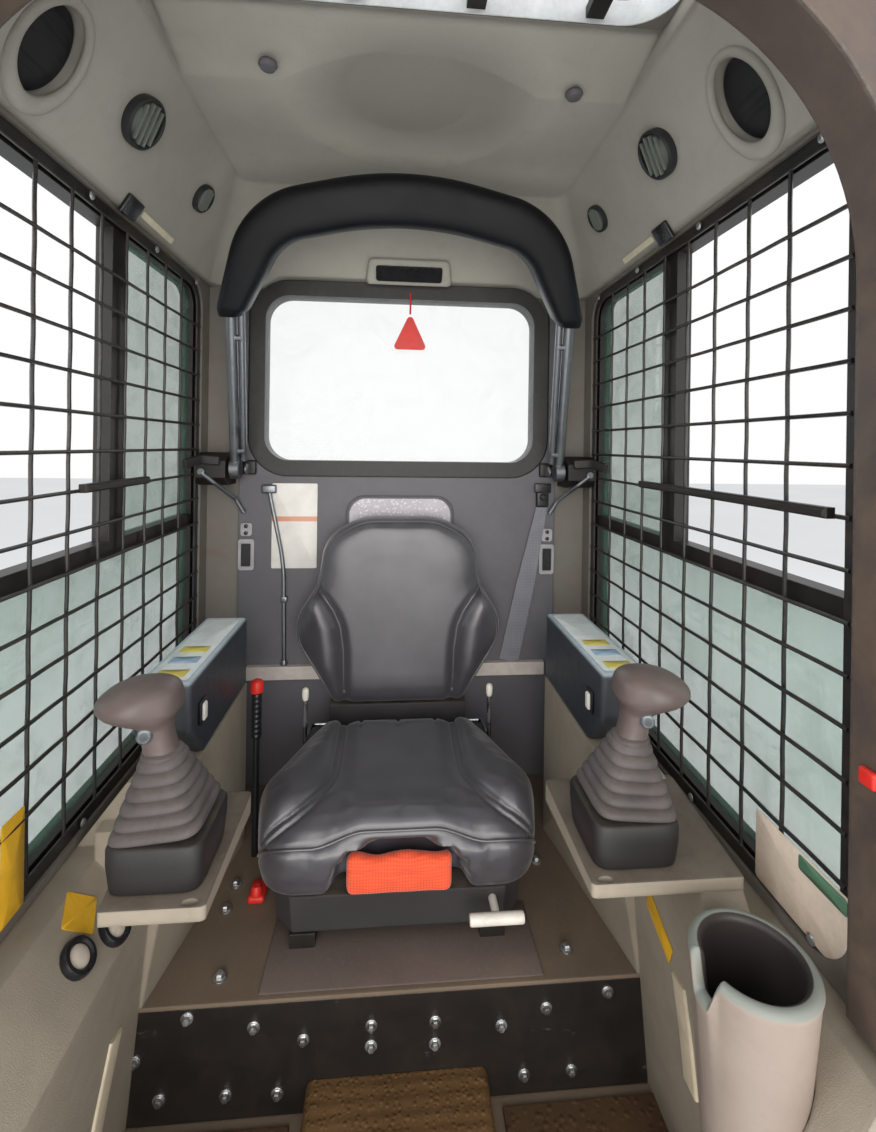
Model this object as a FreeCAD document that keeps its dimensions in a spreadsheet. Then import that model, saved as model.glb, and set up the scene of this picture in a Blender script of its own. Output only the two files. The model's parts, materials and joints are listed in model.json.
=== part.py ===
"""Operator's cab of a skid steer loader, as one assembly of separate pieces.

The frame is in millimetres. X runs to the right of a view in through the door, Y from the door to the
rear wall, and Z up. The origin is the middle of the cab's underside. Left and right in the names are
those of that view. Each chain of sizes adds up from the seat, the door or the floor, so a change of
one length moves what comes after it.
"""
import FreeCAD
import Part
import Sketcher
import math
import os
import re

from FreeCAD import Placement, Rotation, Vector

doc = FreeCAD.newDocument("loader_cab")
sheet = doc.addObject("Spreadsheet::Sheet", "sizes")

# alias, value in mm (or degrees, or a count), what it is
SIZES = [
    # across: from the middle of the seat to the outside of a side wall
    ("seat_half", 245, "half width of the seat cushion"),
    ("seat_room", 55, "room between the cushion and an armrest"),
    ("console_wide", 145, "width of a console, armrest's inner face to side wall"),
    ("wall", 45, "thickness of a side wall"),
    # along: from the toe sill to the outside of the rear wall
    ("toe_deep", 55, "depth of the toe in front of the door frame"),
    ("hoop_deep", 55, "depth of the door frame"),
    ("jamb", 20, "wall between the door frame and a side window"),
    ("window_long", 735, "length of a side window"),
    ("rear_post", 45, "wall between a side window and the rear wall"),
    ("rear_wall", 50, "thickness of the rear wall"),
    ("deck_deep", 506, "depth of the seat deck, rear wall to bulkhead"),
    # up: from the underside to the top of the roof
    ("side_low", 431, "height of a side window's sill"),
    ("window_tall", 899, "height of a side window"),
    ("head_rail", 195, "height of the wall over a side window"),
    ("roof_thick", 45, "thickness of the roof"),
    ("floor_thick", 25, "height of the foot floor's face"),
    ("deck_height", 190, "height of the seat deck's face"),
    ("plate", 6, "thickness of the deck and bulkhead plates"),
    ("toe_drop", 191, "drop of the side wall's edge from window sill to toe sill"),
    ("seat_gap", 0.3, "clearance of pieces that lie against each other"),
    # door frame
    ("hoop_leg", 66, "width of the door frame's legs"),
    ("hoop_beam", 100, "height of the door frame's beam in the middle"),
    ("hoop_radius", 288, "corner radius of the door opening"),
    ("sill_high", 35, "height of the toe sill over the floor"),
    ("sill_deep", 24, "depth of the toe sill"),
    ("step_half", 130, "half width of the centre step"),
    ("step_high", 48, "height of the centre step"),
    ("step_radius", 12, "corner radius of the centre step"),
    # side windows
    ("rail_rise", 364, "height of the middle rail over the sill"),
    ("rail_high", 26, "height of the middle rail"),
    ("stile", 46, "width of the upright where the sliding panes meet"),
    ("stile_back", 30, "distance of that upright behind the window's middle"),
    ("side_radius", 60, "corner radius of a side window"),
    ("wire", 5, "width of a screen wire"),
    ("wire_deep", 4, "depth of a screen wire"),
    ("pitch_z", 54, "height of a screen cell"),
    ("pitch_y", 75, "length of a screen cell"),
    ("screen_rim", 18, "width of a screen's rim"),
    ("screen_inset", 1, "distance of a screen behind the wall's inner face"),
    ("track", 20, "width of a sliding window's frame"),
    ("track_inset", 6, "distance of that frame inside the wall's outer face"),
    ("track_gap", 4, "distance of that frame from the screen"),
    ("pane", 5, "thickness of a window pane"),
    ("catch_wide", 12, "width and height of a window catch"),
    ("catch_rise", 110, "height of the window catches over the middle rail"),
    ("catch_back", 110, "Y of the rear end of a window catch"),
    # rear window
    ("view_sill", 493, "height of the rear window's sill over the side window's"),
    ("view_tall", 411, "height of the rear window"),
    ("view_half", 330, "half width of the rear window"),
    ("view_radius", 70, "corner radius of the rear window"),
    ("seal", 14, "width of rubber inside the rear window's opening"),
    ("seal_lip", 21, "width of rubber that laps over the wall"),
    ("lip_thick", 10, "thickness of that lap"),
    ("tag_wide", 82, "width of the release tag"),
    ("tag_high", 88, "height of the release tag"),
    ("tag_drop", 31, "distance of the release tag under the window's head"),
    ("tag_thick", 3, "thickness of the release tag"),
    ("tag_x", 17, "distance of the release tag right of the middle"),
    # roof window
    ("sky_front", 85, "roof window's distance behind the cab's toe sill and door frame"),
    ("sky_long", 165, "length of the roof window"),
    ("sky_half", 325, "half width of the roof window"),
    ("sky_radius", 60, "corner radius of the roof window"),
    ("sky_pane", 12, "depth of the roof window's pane under the roof's top"),
    ("guard_pitch", 155, "spacing of the roof window's guard bars"),
    ("guard_wide", 24, "width of a guard bar"),
    ("guard_high", 14, "height of a guard bar"),
    ("guard_count", 4, "number of guard bars"),
    # headliner
    ("liner_thick", 25, "thickness of the headliner over its flat face"),
    ("liner_edge", 12, "thickness of the headliner at its lower edge"),
    ("liner_lap", 6, "height of the headliner's lower edge over the side window"),
    ("slope_run", 103, "width of the headliner's side slopes"),
    ("rear_run", 164, "length of the headliner's rear slope"),
    ("liner_radius", 40, "corner radius of the head room"),
    ("flare", 115, "length of the slope up to the roof window"),
    ("dome_radius", 195, "radius of the shallow dome in the headliner"),
    ("dome_deep", 12, "depth of that dome"),
    ("dome_y", -30, "Y of that dome's middle"),
    ("vent_radius", 38, "radius of a large air vent"),
    ("vent_deep", 14, "height of an air vent over the headliner"),
    ("vane", 4, "thickness of an air vent's vanes"),
    ("vent_sides", 12, "number of flats round an air vent and a socket"),
    ("pocket_long", 108, "length of a speaker pocket down the slope"),
    ("pocket_wide", 78, "width of a speaker pocket"),
    ("pocket_deep", 17, "depth of a speaker pocket"),
    ("lamp_wide", 196, "width of the lamp over the rear window"),
    ("lamp_high", 54, "height of that lamp"),
    ("lamp_thick", 12, "thickness of that lamp"),
    # consoles and side trims
    ("console_rise", 314, "height of a console over the deck"),
    ("console_foot", 56, "how far a console's foot stands out at its front"),
    ("arm_wide", 80, "width of an armrest"),
    ("arm_high", 130, "height of an armrest"),
    ("arm_long", 302, "length of an armrest"),
    ("arm_front", 10, "distance of an armrest's front end behind the bulkhead"),
    ("arm_radius", 12, "edge radius of an armrest"),
    ("arm_nose", 60, "slope under an armrest's front end"),
    ("trim_reach", 100, "width of a side trim in front of the consoles"),
    ("trim_low", 350, "height of the side trim's lower edge"),
    ("ledge", 36, "width of the ledge along the top of a side trim"),
    ("ledge_drop", 12, "drop of that ledge under the window sill"),
    ("trim_lean", 30, "how far a side trim's inner face leans out to its foot"),
    ("shelf_high", 480, "height of the shelf that carries a control tower"),
    ("shelf_thick", 26, "thickness of that shelf"),
    ("shelf_edge", 8, "how far that shelf stands out beside the tower"),
    ("shelf_nose", 25, "how far that shelf stands out in front of the tower"),
    ("shelf_bore", 9, "radius of the hole in that shelf"),
    ("socket_radius", 21, "radius of a socket in the left side trim"),
    ("socket_high", 9, "height of a socket's rim"),
    ("niche_radius", 45, "radius of the niche behind the cup holder"),
    # control towers
    ("tower_inset", 24, "distance of a tower's middle inside the armrest's inner face"),
    ("tower_y", -192, "Y of a control tower's middle"),
    ("tower_wide", 110, "width of a control tower's base"),
    ("tower_deep", 110, "depth of a control tower's base"),
    ("tower_high", 53, "height of a control tower's base"),
    ("tower_taper", 4, "how far a tower's base draws in to its top"),
    ("tower_radius", 16, "corner radius of a control tower's base"),
    ("lever_lean", 14, "outward lean of a control lever, degrees"),
    ("lever_out", 8, "distance of a lever's foot outside its tower's middle"),
    ("boot_radius", 46, "radius of a lever's boot at its foot"),
    ("boot_neck", 29, "radius of a lever's boot at its top"),
    ("boot_high", 78, "height of a lever's boot"),
    ("pleats", 5, "number of pleats in a boot"),
    ("pleat", 6, "depth of a pleat"),
    ("stem_radius", 16, "radius of a lever's stem"),
    ("grip_low", 116, "height of the palm grip's underside over the tower, along the lever"),
    ("grip_high", 52, "height of a palm grip"),
    ("grip_radius", 47, "radius of a palm grip"),
    ("grip_sides", 14, "number of flats round a palm grip"),
    # cup holder
    ("cup_x", 340, "X of the cup holder"),
    ("cup_y", -353, "Y of the cup holder"),
    ("cup_radius", 59, "outer radius of the cup holder's rim"),
    ("cup_taper", 16, "how far the cup holder draws in to its foot"),
    ("cup_wall", 9, "thickness of the cup holder's wall"),
    ("cup_sides", 24, "number of flats round the cup holder"),
    ("cup_top", 480, "height of the cup holder's rim"),
    ("cup_high", 205, "height of the cup holder"),
    ("cup_slot", 26, "width of the slot for a handle"),
    ("cup_slot_deep", 62, "depth of the slot for a handle"),
    # seat
    ("seat_long", 348, "length of the cushion"),
    ("seat_front", 53, "distance of the cushion's front behind the bulkhead"),
    ("seat_lift", 82, "height of the cushion's underside over the deck"),
    ("seat_thick", 133, "thickness of the cushion"),
    ("seat_tail", 165, "half width of the cushion at its rear"),
    ("seat_corner", 55, "corner radius of the cushion's front"),
    ("seat_edge", 24, "corner radius of the cushion's rear"),
    ("notch_half", 92, "half width of the hollow under the cushion's nose"),
    ("notch_deep", 44, "depth of that hollow"),
    ("notch_high", 74, "height of that hollow"),
    ("back_thick", 70, "thickness of the backrest"),
    ("back_high", 416, "height of the backrest"),
    ("back_half", 243, "half width of the backrest at its wings"),
    ("back_edge", 18, "radius of the backrest's front edge"),
    ("runner_x", 150, "X of a seat runner"),
    ("runner_wide", 40, "width of a seat runner"),
    ("runner_long", 330, "length of a seat runner"),
    ("runner_high", 24, "height of a seat runner"),
    ("pan_half", 200, "half width of the seat pan"),
    ("pan_inset", 20, "distance of the seat pan behind the cushion's front"),
    ("pan_radius", 30, "corner radius of the seat pan"),
    ("frame_half", 150, "half width of the frame behind the cushion"),
    ("pouch_half", 86, "half width of the pouch under the cushion's nose"),
    ("pouch_thick", 38, "thickness of that pouch"),
    ("pouch_radius", 12, "edge radius of that pouch"),
    ("handle_x", 149, "X of the slide handle"),
    ("handle_wide", 85, "width of the slide handle"),
    ("handle_radius", 9, "radius of the slide handle"),
    ("recline_radius", 5, "radius of a recline lever"),
    ("recline_high", 64, "height of a recline lever"),
    ("hip_x", -272, "X of the lever beside the seat"),
    ("hip_y", 200, "Y of the lever beside the seat"),
    ("hip_high", 310, "height of that lever's post"),
    ("hip_cap", 26, "height of that lever's cap"),
    # restraint bar, in the plane of its hoop: across from its middle, along from its pivots
    ("pivot_room", 56, "distance of the restraint bar's pivots from the rear wall"),
    ("pivot_rise", 488, "height of those pivots over the side window's sill"),
    ("bar_inset", 79, "distance of the restraint bar's legs from the side wall"),
    ("bar_lean", 23, "lean of the raised restraint bar from upright, degrees"),
    ("bar_tube", 11, "radius of the restraint bar's tube"),
    ("bar_twin", 7, "radius of the second tube along each leg"),
    ("twin_gap", 2, "gap between the two tubes of a leg, which two bridges cross"),
    ("leg_long", 336, "length of a leg up to the foam pad"),
    ("leg_in", 24, "how far a leg runs inwards on that length"),
    ("bar_hip", 515, "length from the pivots to the hoop's shoulders"),
    ("bar_hip_half", 264, "half width of the hoop at its shoulders"),
    ("bar_reach", 572, "length from the pivots to the hoop's crown, where its sides would meet"),
    ("core_wide", 40, "width of the strap inside the foam pad"),
    ("core_thick", 8, "thickness of that strap"),
    ("pad_half", 28, "half width of the foam pad at its ends"),
    ("pad_crown", 47, "half height of the foam pad at its crown"),
    ("pad_side", 33, "sideways offset of the pad's corners from the hoop's shoulders"),
    ("pad_rise", 40, "offset of those corners along the hoop"),
    ("pad_bend", 640, "radius of the foam pad's crown"),
    ("pad_outer_bend", 130, "radius of the pad's outer corners"),
    ("pad_inner_bend", 50, "radius of the pad's inner corners"),
    ("pad_deep", 84, "depth of the foam pad"),
    ("pivot_pin", 10, "radius of the restraint bar's pivot pins"),
    ("pin_play", 0.05, "radial clearance on the pivot pins"),
    ("eye_radius", 22, "radius of the eyes on the restraint bar's pivots"),
    ("eye_thick", 22, "thickness of those eyes"),
    ("pivot_gap", 3, "clearance between an eye and its bracket"),
    ("bracket_high", 72, "height of a pivot bracket"),
    ("bracket_nose", 30, "how far a pivot bracket reaches in front of its pin"),
    # mounting
    ("mount_inset", 30, "distance of a mounting hole inside the side wall"),
    ("mount_front", 56, "distance of the front mounting holes behind the bulkhead"),
    ("mount_pitch", 400, "distance from the front to the rear mounting holes"),
    ("mount_bore", 9, "radius of a mounting hole"),
    ("rail_wide", 60, "width of a base rail"),
    ("rail_tall", 40, "height of a base rail"),
    # rear trim and belt
    ("trim_thick", 14, "thickness of the trim panel on the rear wall"),
    ("trim_inset", 75, "distance of that panel's edge from the side wall"),
    ("trim_gap", 2, "gap between that panel and the rear window's rubber"),
    ("hump_half", 126, "half width of the raised part behind the backrest"),
    ("hump_high", 668, "height of that raised part over the deck"),
    ("hump_thick", 8, "thickness of that raised part"),
    ("cross_rise", 262, "height of the rear cross bar's middle over the deck"),
    ("cross_half", 345, "half length of the rear cross bar"),
    ("cross_high", 30, "height of the rear cross bar"),
    ("cross_thick", 15, "thickness of the rear cross bar"),
    ("stay_top", -303, "X of the stay rod's upper end"),
    ("stay_foot", -275, "X of the stay rod's lower end"),
    ("stay_radius", 5, "radius of the stay rod"),
    ("stay_long", 414, "height of the stay rod's clip over the cross bar"),
    ("belt_x", 338, "X of the belt's upper end"),
    ("belt_foot", 262, "X of the belt's lower end"),
    ("belt_wide", 46, "width of the belt"),
    ("belt_thick", 2, "thickness of the belt"),
    ("reel_wide", 30, "width of the belt's guide"),
    ("reel_high", 50, "height of the belt's guide"),
    ("reel_deep", 12, "depth of the belt's guide"),
]

# lengths that follow from the sizes above
DERIVED = {
    "inner": "seat_half + seat_room + console_wide",
    "half_width": "inner + wall",
    "half_depth": "(toe_deep + hoop_deep + jamb + window_long + rear_post + rear_wall) / 2",
    "hoop_front": "-half_depth + toe_deep",
    "hoop_back": "hoop_front + hoop_deep",
    "window_front": "hoop_back + jamb",
    "window_back": "window_front + window_long",
    "rear_face": "half_depth - rear_wall",
    "trim_face": "rear_face - trim_thick",
    "bulkhead_face": "rear_face - deck_deep",
    "side_high": "side_low + window_tall",
    "roof_under": "side_high + head_rail",
    "roof_top": "roof_under + roof_thick",
    "toe_height": "side_low - toe_drop",
    "hoop_half": "half_width - hoop_leg",
    "hoop_top": "roof_under - hoop_beam",
    "rail_low": "side_low + rail_rise",
    "rail_top": "rail_low + rail_high",
    "view_low": "side_low + view_sill",
    "view_high": "view_low + view_tall",
    "sky_low": "hoop_front + sky_front",
    "sky_far": "sky_low + sky_long",
    "ceiling": "roof_under - liner_thick",
    "liner_low": "side_high + liner_lap",
    "liner_half": "inner - seat_gap",
    "room_low": "liner_half - liner_edge",
    "room_high": "room_low - slope_run",
    "room_back": "rear_face - seat_gap - liner_edge",
    "arm_inner": "seat_half + seat_room",
    "console_top": "deck_height + console_rise",
    "arm_y": "bulkhead_face + arm_front",
    "arm_back": "arm_y + arm_long",
    "arm_top": "console_top + arm_high",
    "trim_edge": "inner - trim_reach",
    "ledge_z": "side_low - ledge_drop",
    "tower_x": "arm_inner - tower_inset",
    "tower_front": "tower_y - tower_deep / 2",
    "tower_top": "shelf_high + tower_high",
    "seat_y": "bulkhead_face + seat_front",
    "seat_back": "seat_y + seat_long",
    "seat_low": "deck_height + seat_lift",
    "seat_top": "seat_low + seat_thick",
    "pivot_y": "rear_face - pivot_room",
    "pivot_z": "side_low + pivot_rise",
    "bar_half": "inner - bar_inset",
    "mount_x": "inner - mount_inset",
    "mount_y": "bulkhead_face + mount_front",
    "trim_half": "inner - trim_inset",
    "cross_z": "deck_height + cross_rise",
}

for row, (alias, value, note) in enumerate(SIZES, 1):
    sheet.set(f"A{row}", note)
    sheet.set(f"B{row}", str(value))
    sheet.setAlias(f"B{row}", alias)
doc.recompute()
ALIASES = {alias for alias, _, _ in SIZES}


def bound(text):
    """An expression in which each name is written as a reference to the sheet."""
    def refer(match):
        name = match.group()
        if name in DERIVED:
            return f"({bound(DERIVED[name])})"
        return f"sizes.{name}" if name in ALIASES else name
    return re.sub(r"[a-z][a-z_]*", refer, str(text))


def number(text):
    """The value of such an expression."""
    value = sheet.evalExpression(bound(text))
    return float(getattr(value, "Value", value))


class Values:
    """The named lengths as plain numbers, for shapes that no feature fits."""

    def __getattr__(self, name):
        value = number(name)
        setattr(self, name, value)
        return value


d = Values()
nodes = []
SIDES = (("left", -1), ("right", 1))
X_AXIS = Vector(1, 0, 0)
Y_AXIS = Vector(0, 1, 0)
Z_AXIS = Vector(0, 0, 1)


def finish(piece, label):
    """Gives a finished sub-part the label that names its file."""
    piece.Label = label
    nodes.append(piece)
    return piece


def shaped(label, shape):
    """A finished sub-part whose shape is worked out from the named lengths."""
    piece = doc.addObject("Part::Feature", label)
    piece.Shape = shape
    return finish(piece, label)


def new_sketch(body, plane, offset):
    """A sketch on a body's origin plane, moved along the plane's normal by an expression."""
    sketch = body.newObject("Sketcher::SketchObject", "sketch")
    support = next(f for f in body.Origin.OriginFeatures if f.Role == f"{plane}_Plane")
    sketch.AttachmentSupport = (support, [""])
    sketch.MapMode = "FlatFace"
    sketch.setExpression("AttachmentOffset.Base.z", bound(offset))
    return sketch


def bind(sketch, kind, name, text, *where):
    """A dimension of a sketch, bound to an expression."""
    index = sketch.addConstraint(Sketcher.Constraint(kind, *where, number(text)))
    sketch.renameConstraint(index, name)
    sketch.setExpression(f"Constraints.{name}", bound(text))


def draw_outline(sketch, corners):
    """A closed outline of straight lines whose corners are pairs of expressions."""
    points = [Vector(number(x), number(y), 0) for x, y in corners]
    count = len(points)
    lines = [sketch.addGeometry(Part.LineSegment(points[i], points[(i + 1) % count])) for i in range(count)]
    for i in range(count):
        sketch.addConstraint(Sketcher.Constraint("Coincident", lines[i], 2, lines[(i + 1) % count], 1))
    for i, (x, y) in enumerate(corners):
        bind(sketch, "DistanceX", f"x{i}", x, -1, 1, lines[i], 1)
        bind(sketch, "DistanceY", f"y{i}", y, -1, 1, lines[i], 1)


def draw_rounded(sketch, left, low, right, high, radius):
    """A rectangle with rounded corners, its sides and radius bound to expressions."""
    x0, y0, x1, y1, r = (number(t) for t in (left, low, right, high, radius))
    sides = [((x0 + r, y0), (x1 - r, y0)), ((x1, y0 + r), (x1, y1 - r)),
             ((x1 - r, y1), (x0 + r, y1)), ((x0, y1 - r), (x0, y0 + r))]
    centres = [(x1 - r, y0 + r), (x1 - r, y1 - r), (x0 + r, y1 - r), (x0 + r, y0 + r)]
    lines = [sketch.addGeometry(Part.LineSegment(Vector(*a, 0), Vector(*b, 0))) for a, b in sides]
    arcs = []
    for i, centre in enumerate(centres):
        start = math.radians(90 * i - 90)
        circle = Part.Circle(Vector(*centre, 0), Z_AXIS, r)
        arcs.append(sketch.addGeometry(Part.ArcOfCircle(circle, start, start + math.pi / 2)))
    for i in range(4):
        sketch.addConstraint(Sketcher.Constraint("Tangent", lines[i], 2, arcs[i], 1))
        sketch.addConstraint(Sketcher.Constraint("Tangent", arcs[i], 2, lines[(i + 1) % 4], 1))
        if i:
            sketch.addConstraint(Sketcher.Constraint("Equal", arcs[0], arcs[i]))
    bind(sketch, "Radius", "corner", radius, arcs[0])
    bind(sketch, "DistanceY", "low", low, -1, 1, lines[0], 1)
    bind(sketch, "DistanceX", "right", right, -1, 1, lines[1], 1)
    bind(sketch, "DistanceY", "high", high, -1, 1, lines[2], 1)
    bind(sketch, "DistanceX", "left", left, -1, 1, lines[3], 1)


def flat_plate(label, plane, offset, thick, corners, window=None, reverse=False):
    """A plate drawn on a plane: an outline of expressions, with a rounded window cut through it."""
    body = doc.addObject("PartDesign::Body", label)
    sketch = new_sketch(body, plane, offset)
    draw_outline(sketch, corners)
    plate = body.newObject("PartDesign::Pad", "pad")
    plate.Profile = sketch
    plate.setExpression("Length", bound(thick))
    plate.Reversed = reverse
    doc.recompute()
    if window:
        before = body.Shape.Volume
        opening = new_sketch(body, plane, offset)
        draw_rounded(opening, *window)
        pocket = body.newObject("PartDesign::Pocket", "pocket")
        pocket.Profile = opening
        pocket.Type = "ThroughAll"
        pocket.Midplane = True
        doc.recompute()
        assert body.Shape.Volume < before, f"{label}: its window cuts nothing"
    return finish(body, label)


def box(name, low, size):
    """A box whose corner and sides are expressions."""
    piece = doc.addObject("Part::Box", name)
    for side, text in zip(("Length", "Width", "Height"), size):
        piece.setExpression(side, bound(text))
    for axis, text in zip("xyz", low):
        piece.setExpression(f"Placement.Base.{axis}", bound(text))
    return finish(piece, name)


def block(x, y, z):
    """A plain block between pairs of X, Y and Z, given in either order."""
    (x0, x1), (y0, y1), (z0, z1) = sorted(x), sorted(y), sorted(z)
    return Part.makeBox(x1 - x0, y1 - y0, z1 - z0, Vector(x0, y0, z0))


def rounded_block(x, y, z, radius, axis):
    """A block with its four edges along an axis rounded."""
    solid = block(x, y, z)
    edges = [e for e in solid.Edges if abs(e.tangentAt(e.FirstParameter).dot(axis)) > 0.9]
    return solid.makeFillet(radius, edges)


def faceted(rings):
    """A solid from the corners of its flat faces, each ring in order as seen from outside."""
    shell = Part.makeShell([Part.Face(Part.makePolygon([*ring, ring[0]])) for ring in rings])
    shell.sewShape()
    return Part.makeSolid(shell)


def stacked(rings):
    """A solid through a stack of rings with the same number of corners, flat between each pair."""
    sides = [[low[i - 1], low[i], high[i], high[i - 1]] for low, high in zip(rings, rings[1:])
             for i in range(len(low))]
    return faceted([rings[0][::-1], rings[-1]] + sides)


def cut_ring(x, y, z, corner):
    """A level ring between pairs of X and Y with its four corners cut off."""
    (x0, x1), (y0, y1) = sorted(x), sorted(y)
    return [Vector(px, py, z) for px, py in (
        (x0 + corner, y0), (x1 - corner, y0), (x1, y0 + corner), (x1, y1 - corner), (x1 - corner, y1),
        (x0 + corner, y1), (x0, y1 - corner), (x0, y0 + corner))]


def square_ring(centre, half, corner):
    """A level square ring about a point with its corners cut off."""
    return cut_ring((centre.x - half, centre.x + half), (centre.y - half, centre.y + half), centre.z, corner)


def turned(profile, sides, foot, way):
    """A many sided turned solid from rings of radius and height along an axis from a foot."""
    spot = Placement(foot, Rotation(Z_AXIS, way))
    steps = [2 * math.pi * i / sides for i in range(sides)]
    rings = [[Vector(r * math.cos(a), r * math.sin(a), h) for a in steps] for r, h in profile]
    return stacked([[spot.multVec(p) for p in ring] for ring in rings])


def frustum(low, high, radius):
    """A block whose two level faces may differ, each x0, x1, y0, y1, z, with its upright edges rounded."""
    rings = []
    for x0, x1, y0, y1, z in (low, high):
        rings.append([Vector(x0, y0, z), Vector(x1, y0, z), Vector(x1, y1, z), Vector(x0, y1, z)])
    bottom, top = rings
    sides = [[bottom[i - 1], bottom[i], top[i], top[i - 1]] for i in range(4)]
    solid = faceted([bottom[::-1], top] + sides)
    uprights = [e for e in solid.Edges if abs(e.Vertexes[0].Z - e.Vertexes[1].Z) > d.plate]
    return solid.makeFillet(radius, uprights)


def rounded_outline(corners):
    """A closed wire through corners of a point and a radius, each corner rounded by its arc."""
    count = len(corners)
    edges = []
    ends = []
    for i, (point, radius) in enumerate(corners):
        before = (corners[i - 1][0] - point).normalize()
        after = (corners[(i + 1) % count][0] - point).normalize()
        half = before.getAngle(after) / 2
        reach = radius / math.tan(half)
        middle = point + (before + after).normalize() * (radius / math.sin(half) - radius)
        ends.append((point + before * reach, middle, point + after * reach))
    for i, (start, middle, stop) in enumerate(ends):
        edges.append(Part.Arc(start, middle, stop).toShape())
        edges.append(Part.makeLine(stop, ends[(i + 1) % count][0]))
    return Part.Wire(edges)


def mirrored(half):
    """The corners of a right half outline, from top to bottom, and of its mirror image."""
    return half + [(Vector(-p.x, p.y, p.z), r) for p, r in reversed(half)]


def bevelled(solid, size, where):
    """A solid with the edges bevelled whose middle passes a test."""
    edges = [e for e in solid.Edges if where(e.valueAt((e.FirstParameter + e.LastParameter) / 2))]
    return solid.makeChamfer(size, edges)


def mitred_bar(points, ring):
    """A bar along straight runs, mitred at each corner; its section is a closed ring at its start."""
    return Part.makePolygon(points).makePipeShell([Part.makePolygon([*ring, ring[0]])], True, False, 1)


def across(corners, sign, y):
    """An upright profile of x and z corners on one side of the cab, drawn out between two Y."""
    points = [Vector(sign * x, y[0], z) for x, z in corners]
    return Part.Face(Part.makePolygon(points + points[:1])).extrude(Vector(0, y[1] - y[0], 0))


def along(corners, x):
    """An upright profile of y and z corners, drawn out between two X."""
    points = [Vector(x[0], y, z) for y, z in corners]
    return Part.Face(Part.makePolygon(points + points[:1])).extrude(Vector(x[1] - x[0], 0, 0))


def shell():
    """The walls, door frame and roof, each one plate as thick as the whole wall, with its window."""
    walls = [("-half_depth", "0"), ("rear_face", "0"), ("rear_face", "roof_under"),
             ("hoop_back", "roof_under"), ("hoop_back", "side_low"), ("hoop_front", "side_low"),
             ("-half_depth", "toe_height")]
    window = ("window_front", "side_low", "window_back", "side_high", "side_radius")
    flat_plate("side_wall_left", "YZ", "-half_width", "wall", walls, window)
    flat_plate("side_wall_right", "YZ", "inner", "wall", walls, window)
    frame = [("-half_width", "side_low"), ("half_width", "side_low"), ("half_width", "roof_under"),
             ("-half_width", "roof_under")]
    door = ("-hoop_half", "side_low - 2 * hoop_radius", "hoop_half", "hoop_top", "hoop_radius")
    flat_plate("front_hoop", "XZ", "-hoop_front", "hoop_deep", frame, door, reverse=True)
    back = [("-half_width", "0"), ("half_width", "0"), ("half_width", "roof_under"),
            ("-half_width", "roof_under")]
    view = ("-view_half", "view_low", "view_half", "view_high", "view_radius")
    flat_plate("rear_wall", "XZ", "-rear_face", "rear_wall", back, view, reverse=True)
    top = [("-half_width", "hoop_front"), ("half_width", "hoop_front"), ("half_width", "half_depth"),
           ("-half_width", "half_depth")]
    sky = ("-sky_half", "sky_low", "sky_half", "sky_far", "sky_radius")
    flat_plate("roof", "XY", "roof_under", "roof_thick", top, sky)


def roof_window():
    """A clear pane in the roof window, with guard bars across it."""
    gap = d.seat_gap
    z = d.roof_top - d.sky_pane
    pane = rounded_block((gap - d.sky_half, d.sky_half - gap), (d.sky_low + gap, d.sky_far - gap),
                         (z, z + d.pane), d.sky_radius - gap, Z_AXIS)
    shaped("roof_glass", pane)
    count = int(d.guard_count)
    bars = []
    for i in range(count):
        x = (i - (count - 1) / 2) * d.guard_pitch
        bars.append(block((x - d.guard_wide / 2, x + d.guard_wide / 2), (d.sky_low, d.sky_far),
                          (d.roof_under + d.plate, d.roof_under + d.plate + d.guard_high)))
    shaped("roof_guard_bars", Part.makeCompound(bars))


def base():
    """The floor, the bulkhead, the seat deck, the centre step, the toe sill and the rails that carry them."""
    box("foot_floor", ("-inner", "-half_depth", "0"),
        ("2 * inner", "bulkhead_face + half_depth", "floor_thick"))
    box("bulkhead", ("-inner", "bulkhead_face", "0"), ("2 * inner", "plate", "deck_height - plate"))
    box("seat_deck", ("-inner", "bulkhead_face", "deck_height - plate"), ("2 * inner", "deck_deep", "plate"))
    box("toe_sill", ("-inner", "-half_depth", "floor_thick"), ("2 * inner", "sill_deep", "sill_high"))
    step = rounded_block((-d.step_half, d.step_half), (d.sill_deep - d.half_depth, d.bulkhead_face),
                         (d.floor_thick, d.floor_thick + d.step_high), d.step_radius, Z_AXIS)
    shaped("centre_step", step)
    rails = []
    for sign in (-1, 1):
        rail = block((sign * d.inner, sign * (d.inner - d.rail_wide)),
                     (d.bulkhead_face + d.plate, d.rear_face), (0, d.rail_tall))
        for y in (d.mount_y, d.mount_y + d.mount_pitch):
            rail = rail.cut(Part.makeCylinder(d.mount_bore, d.rail_tall, Vector(sign * d.mount_x, y, 0)))
        rails.append(rail)
    shaped("base_rails", Part.makeCompound(rails))


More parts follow.
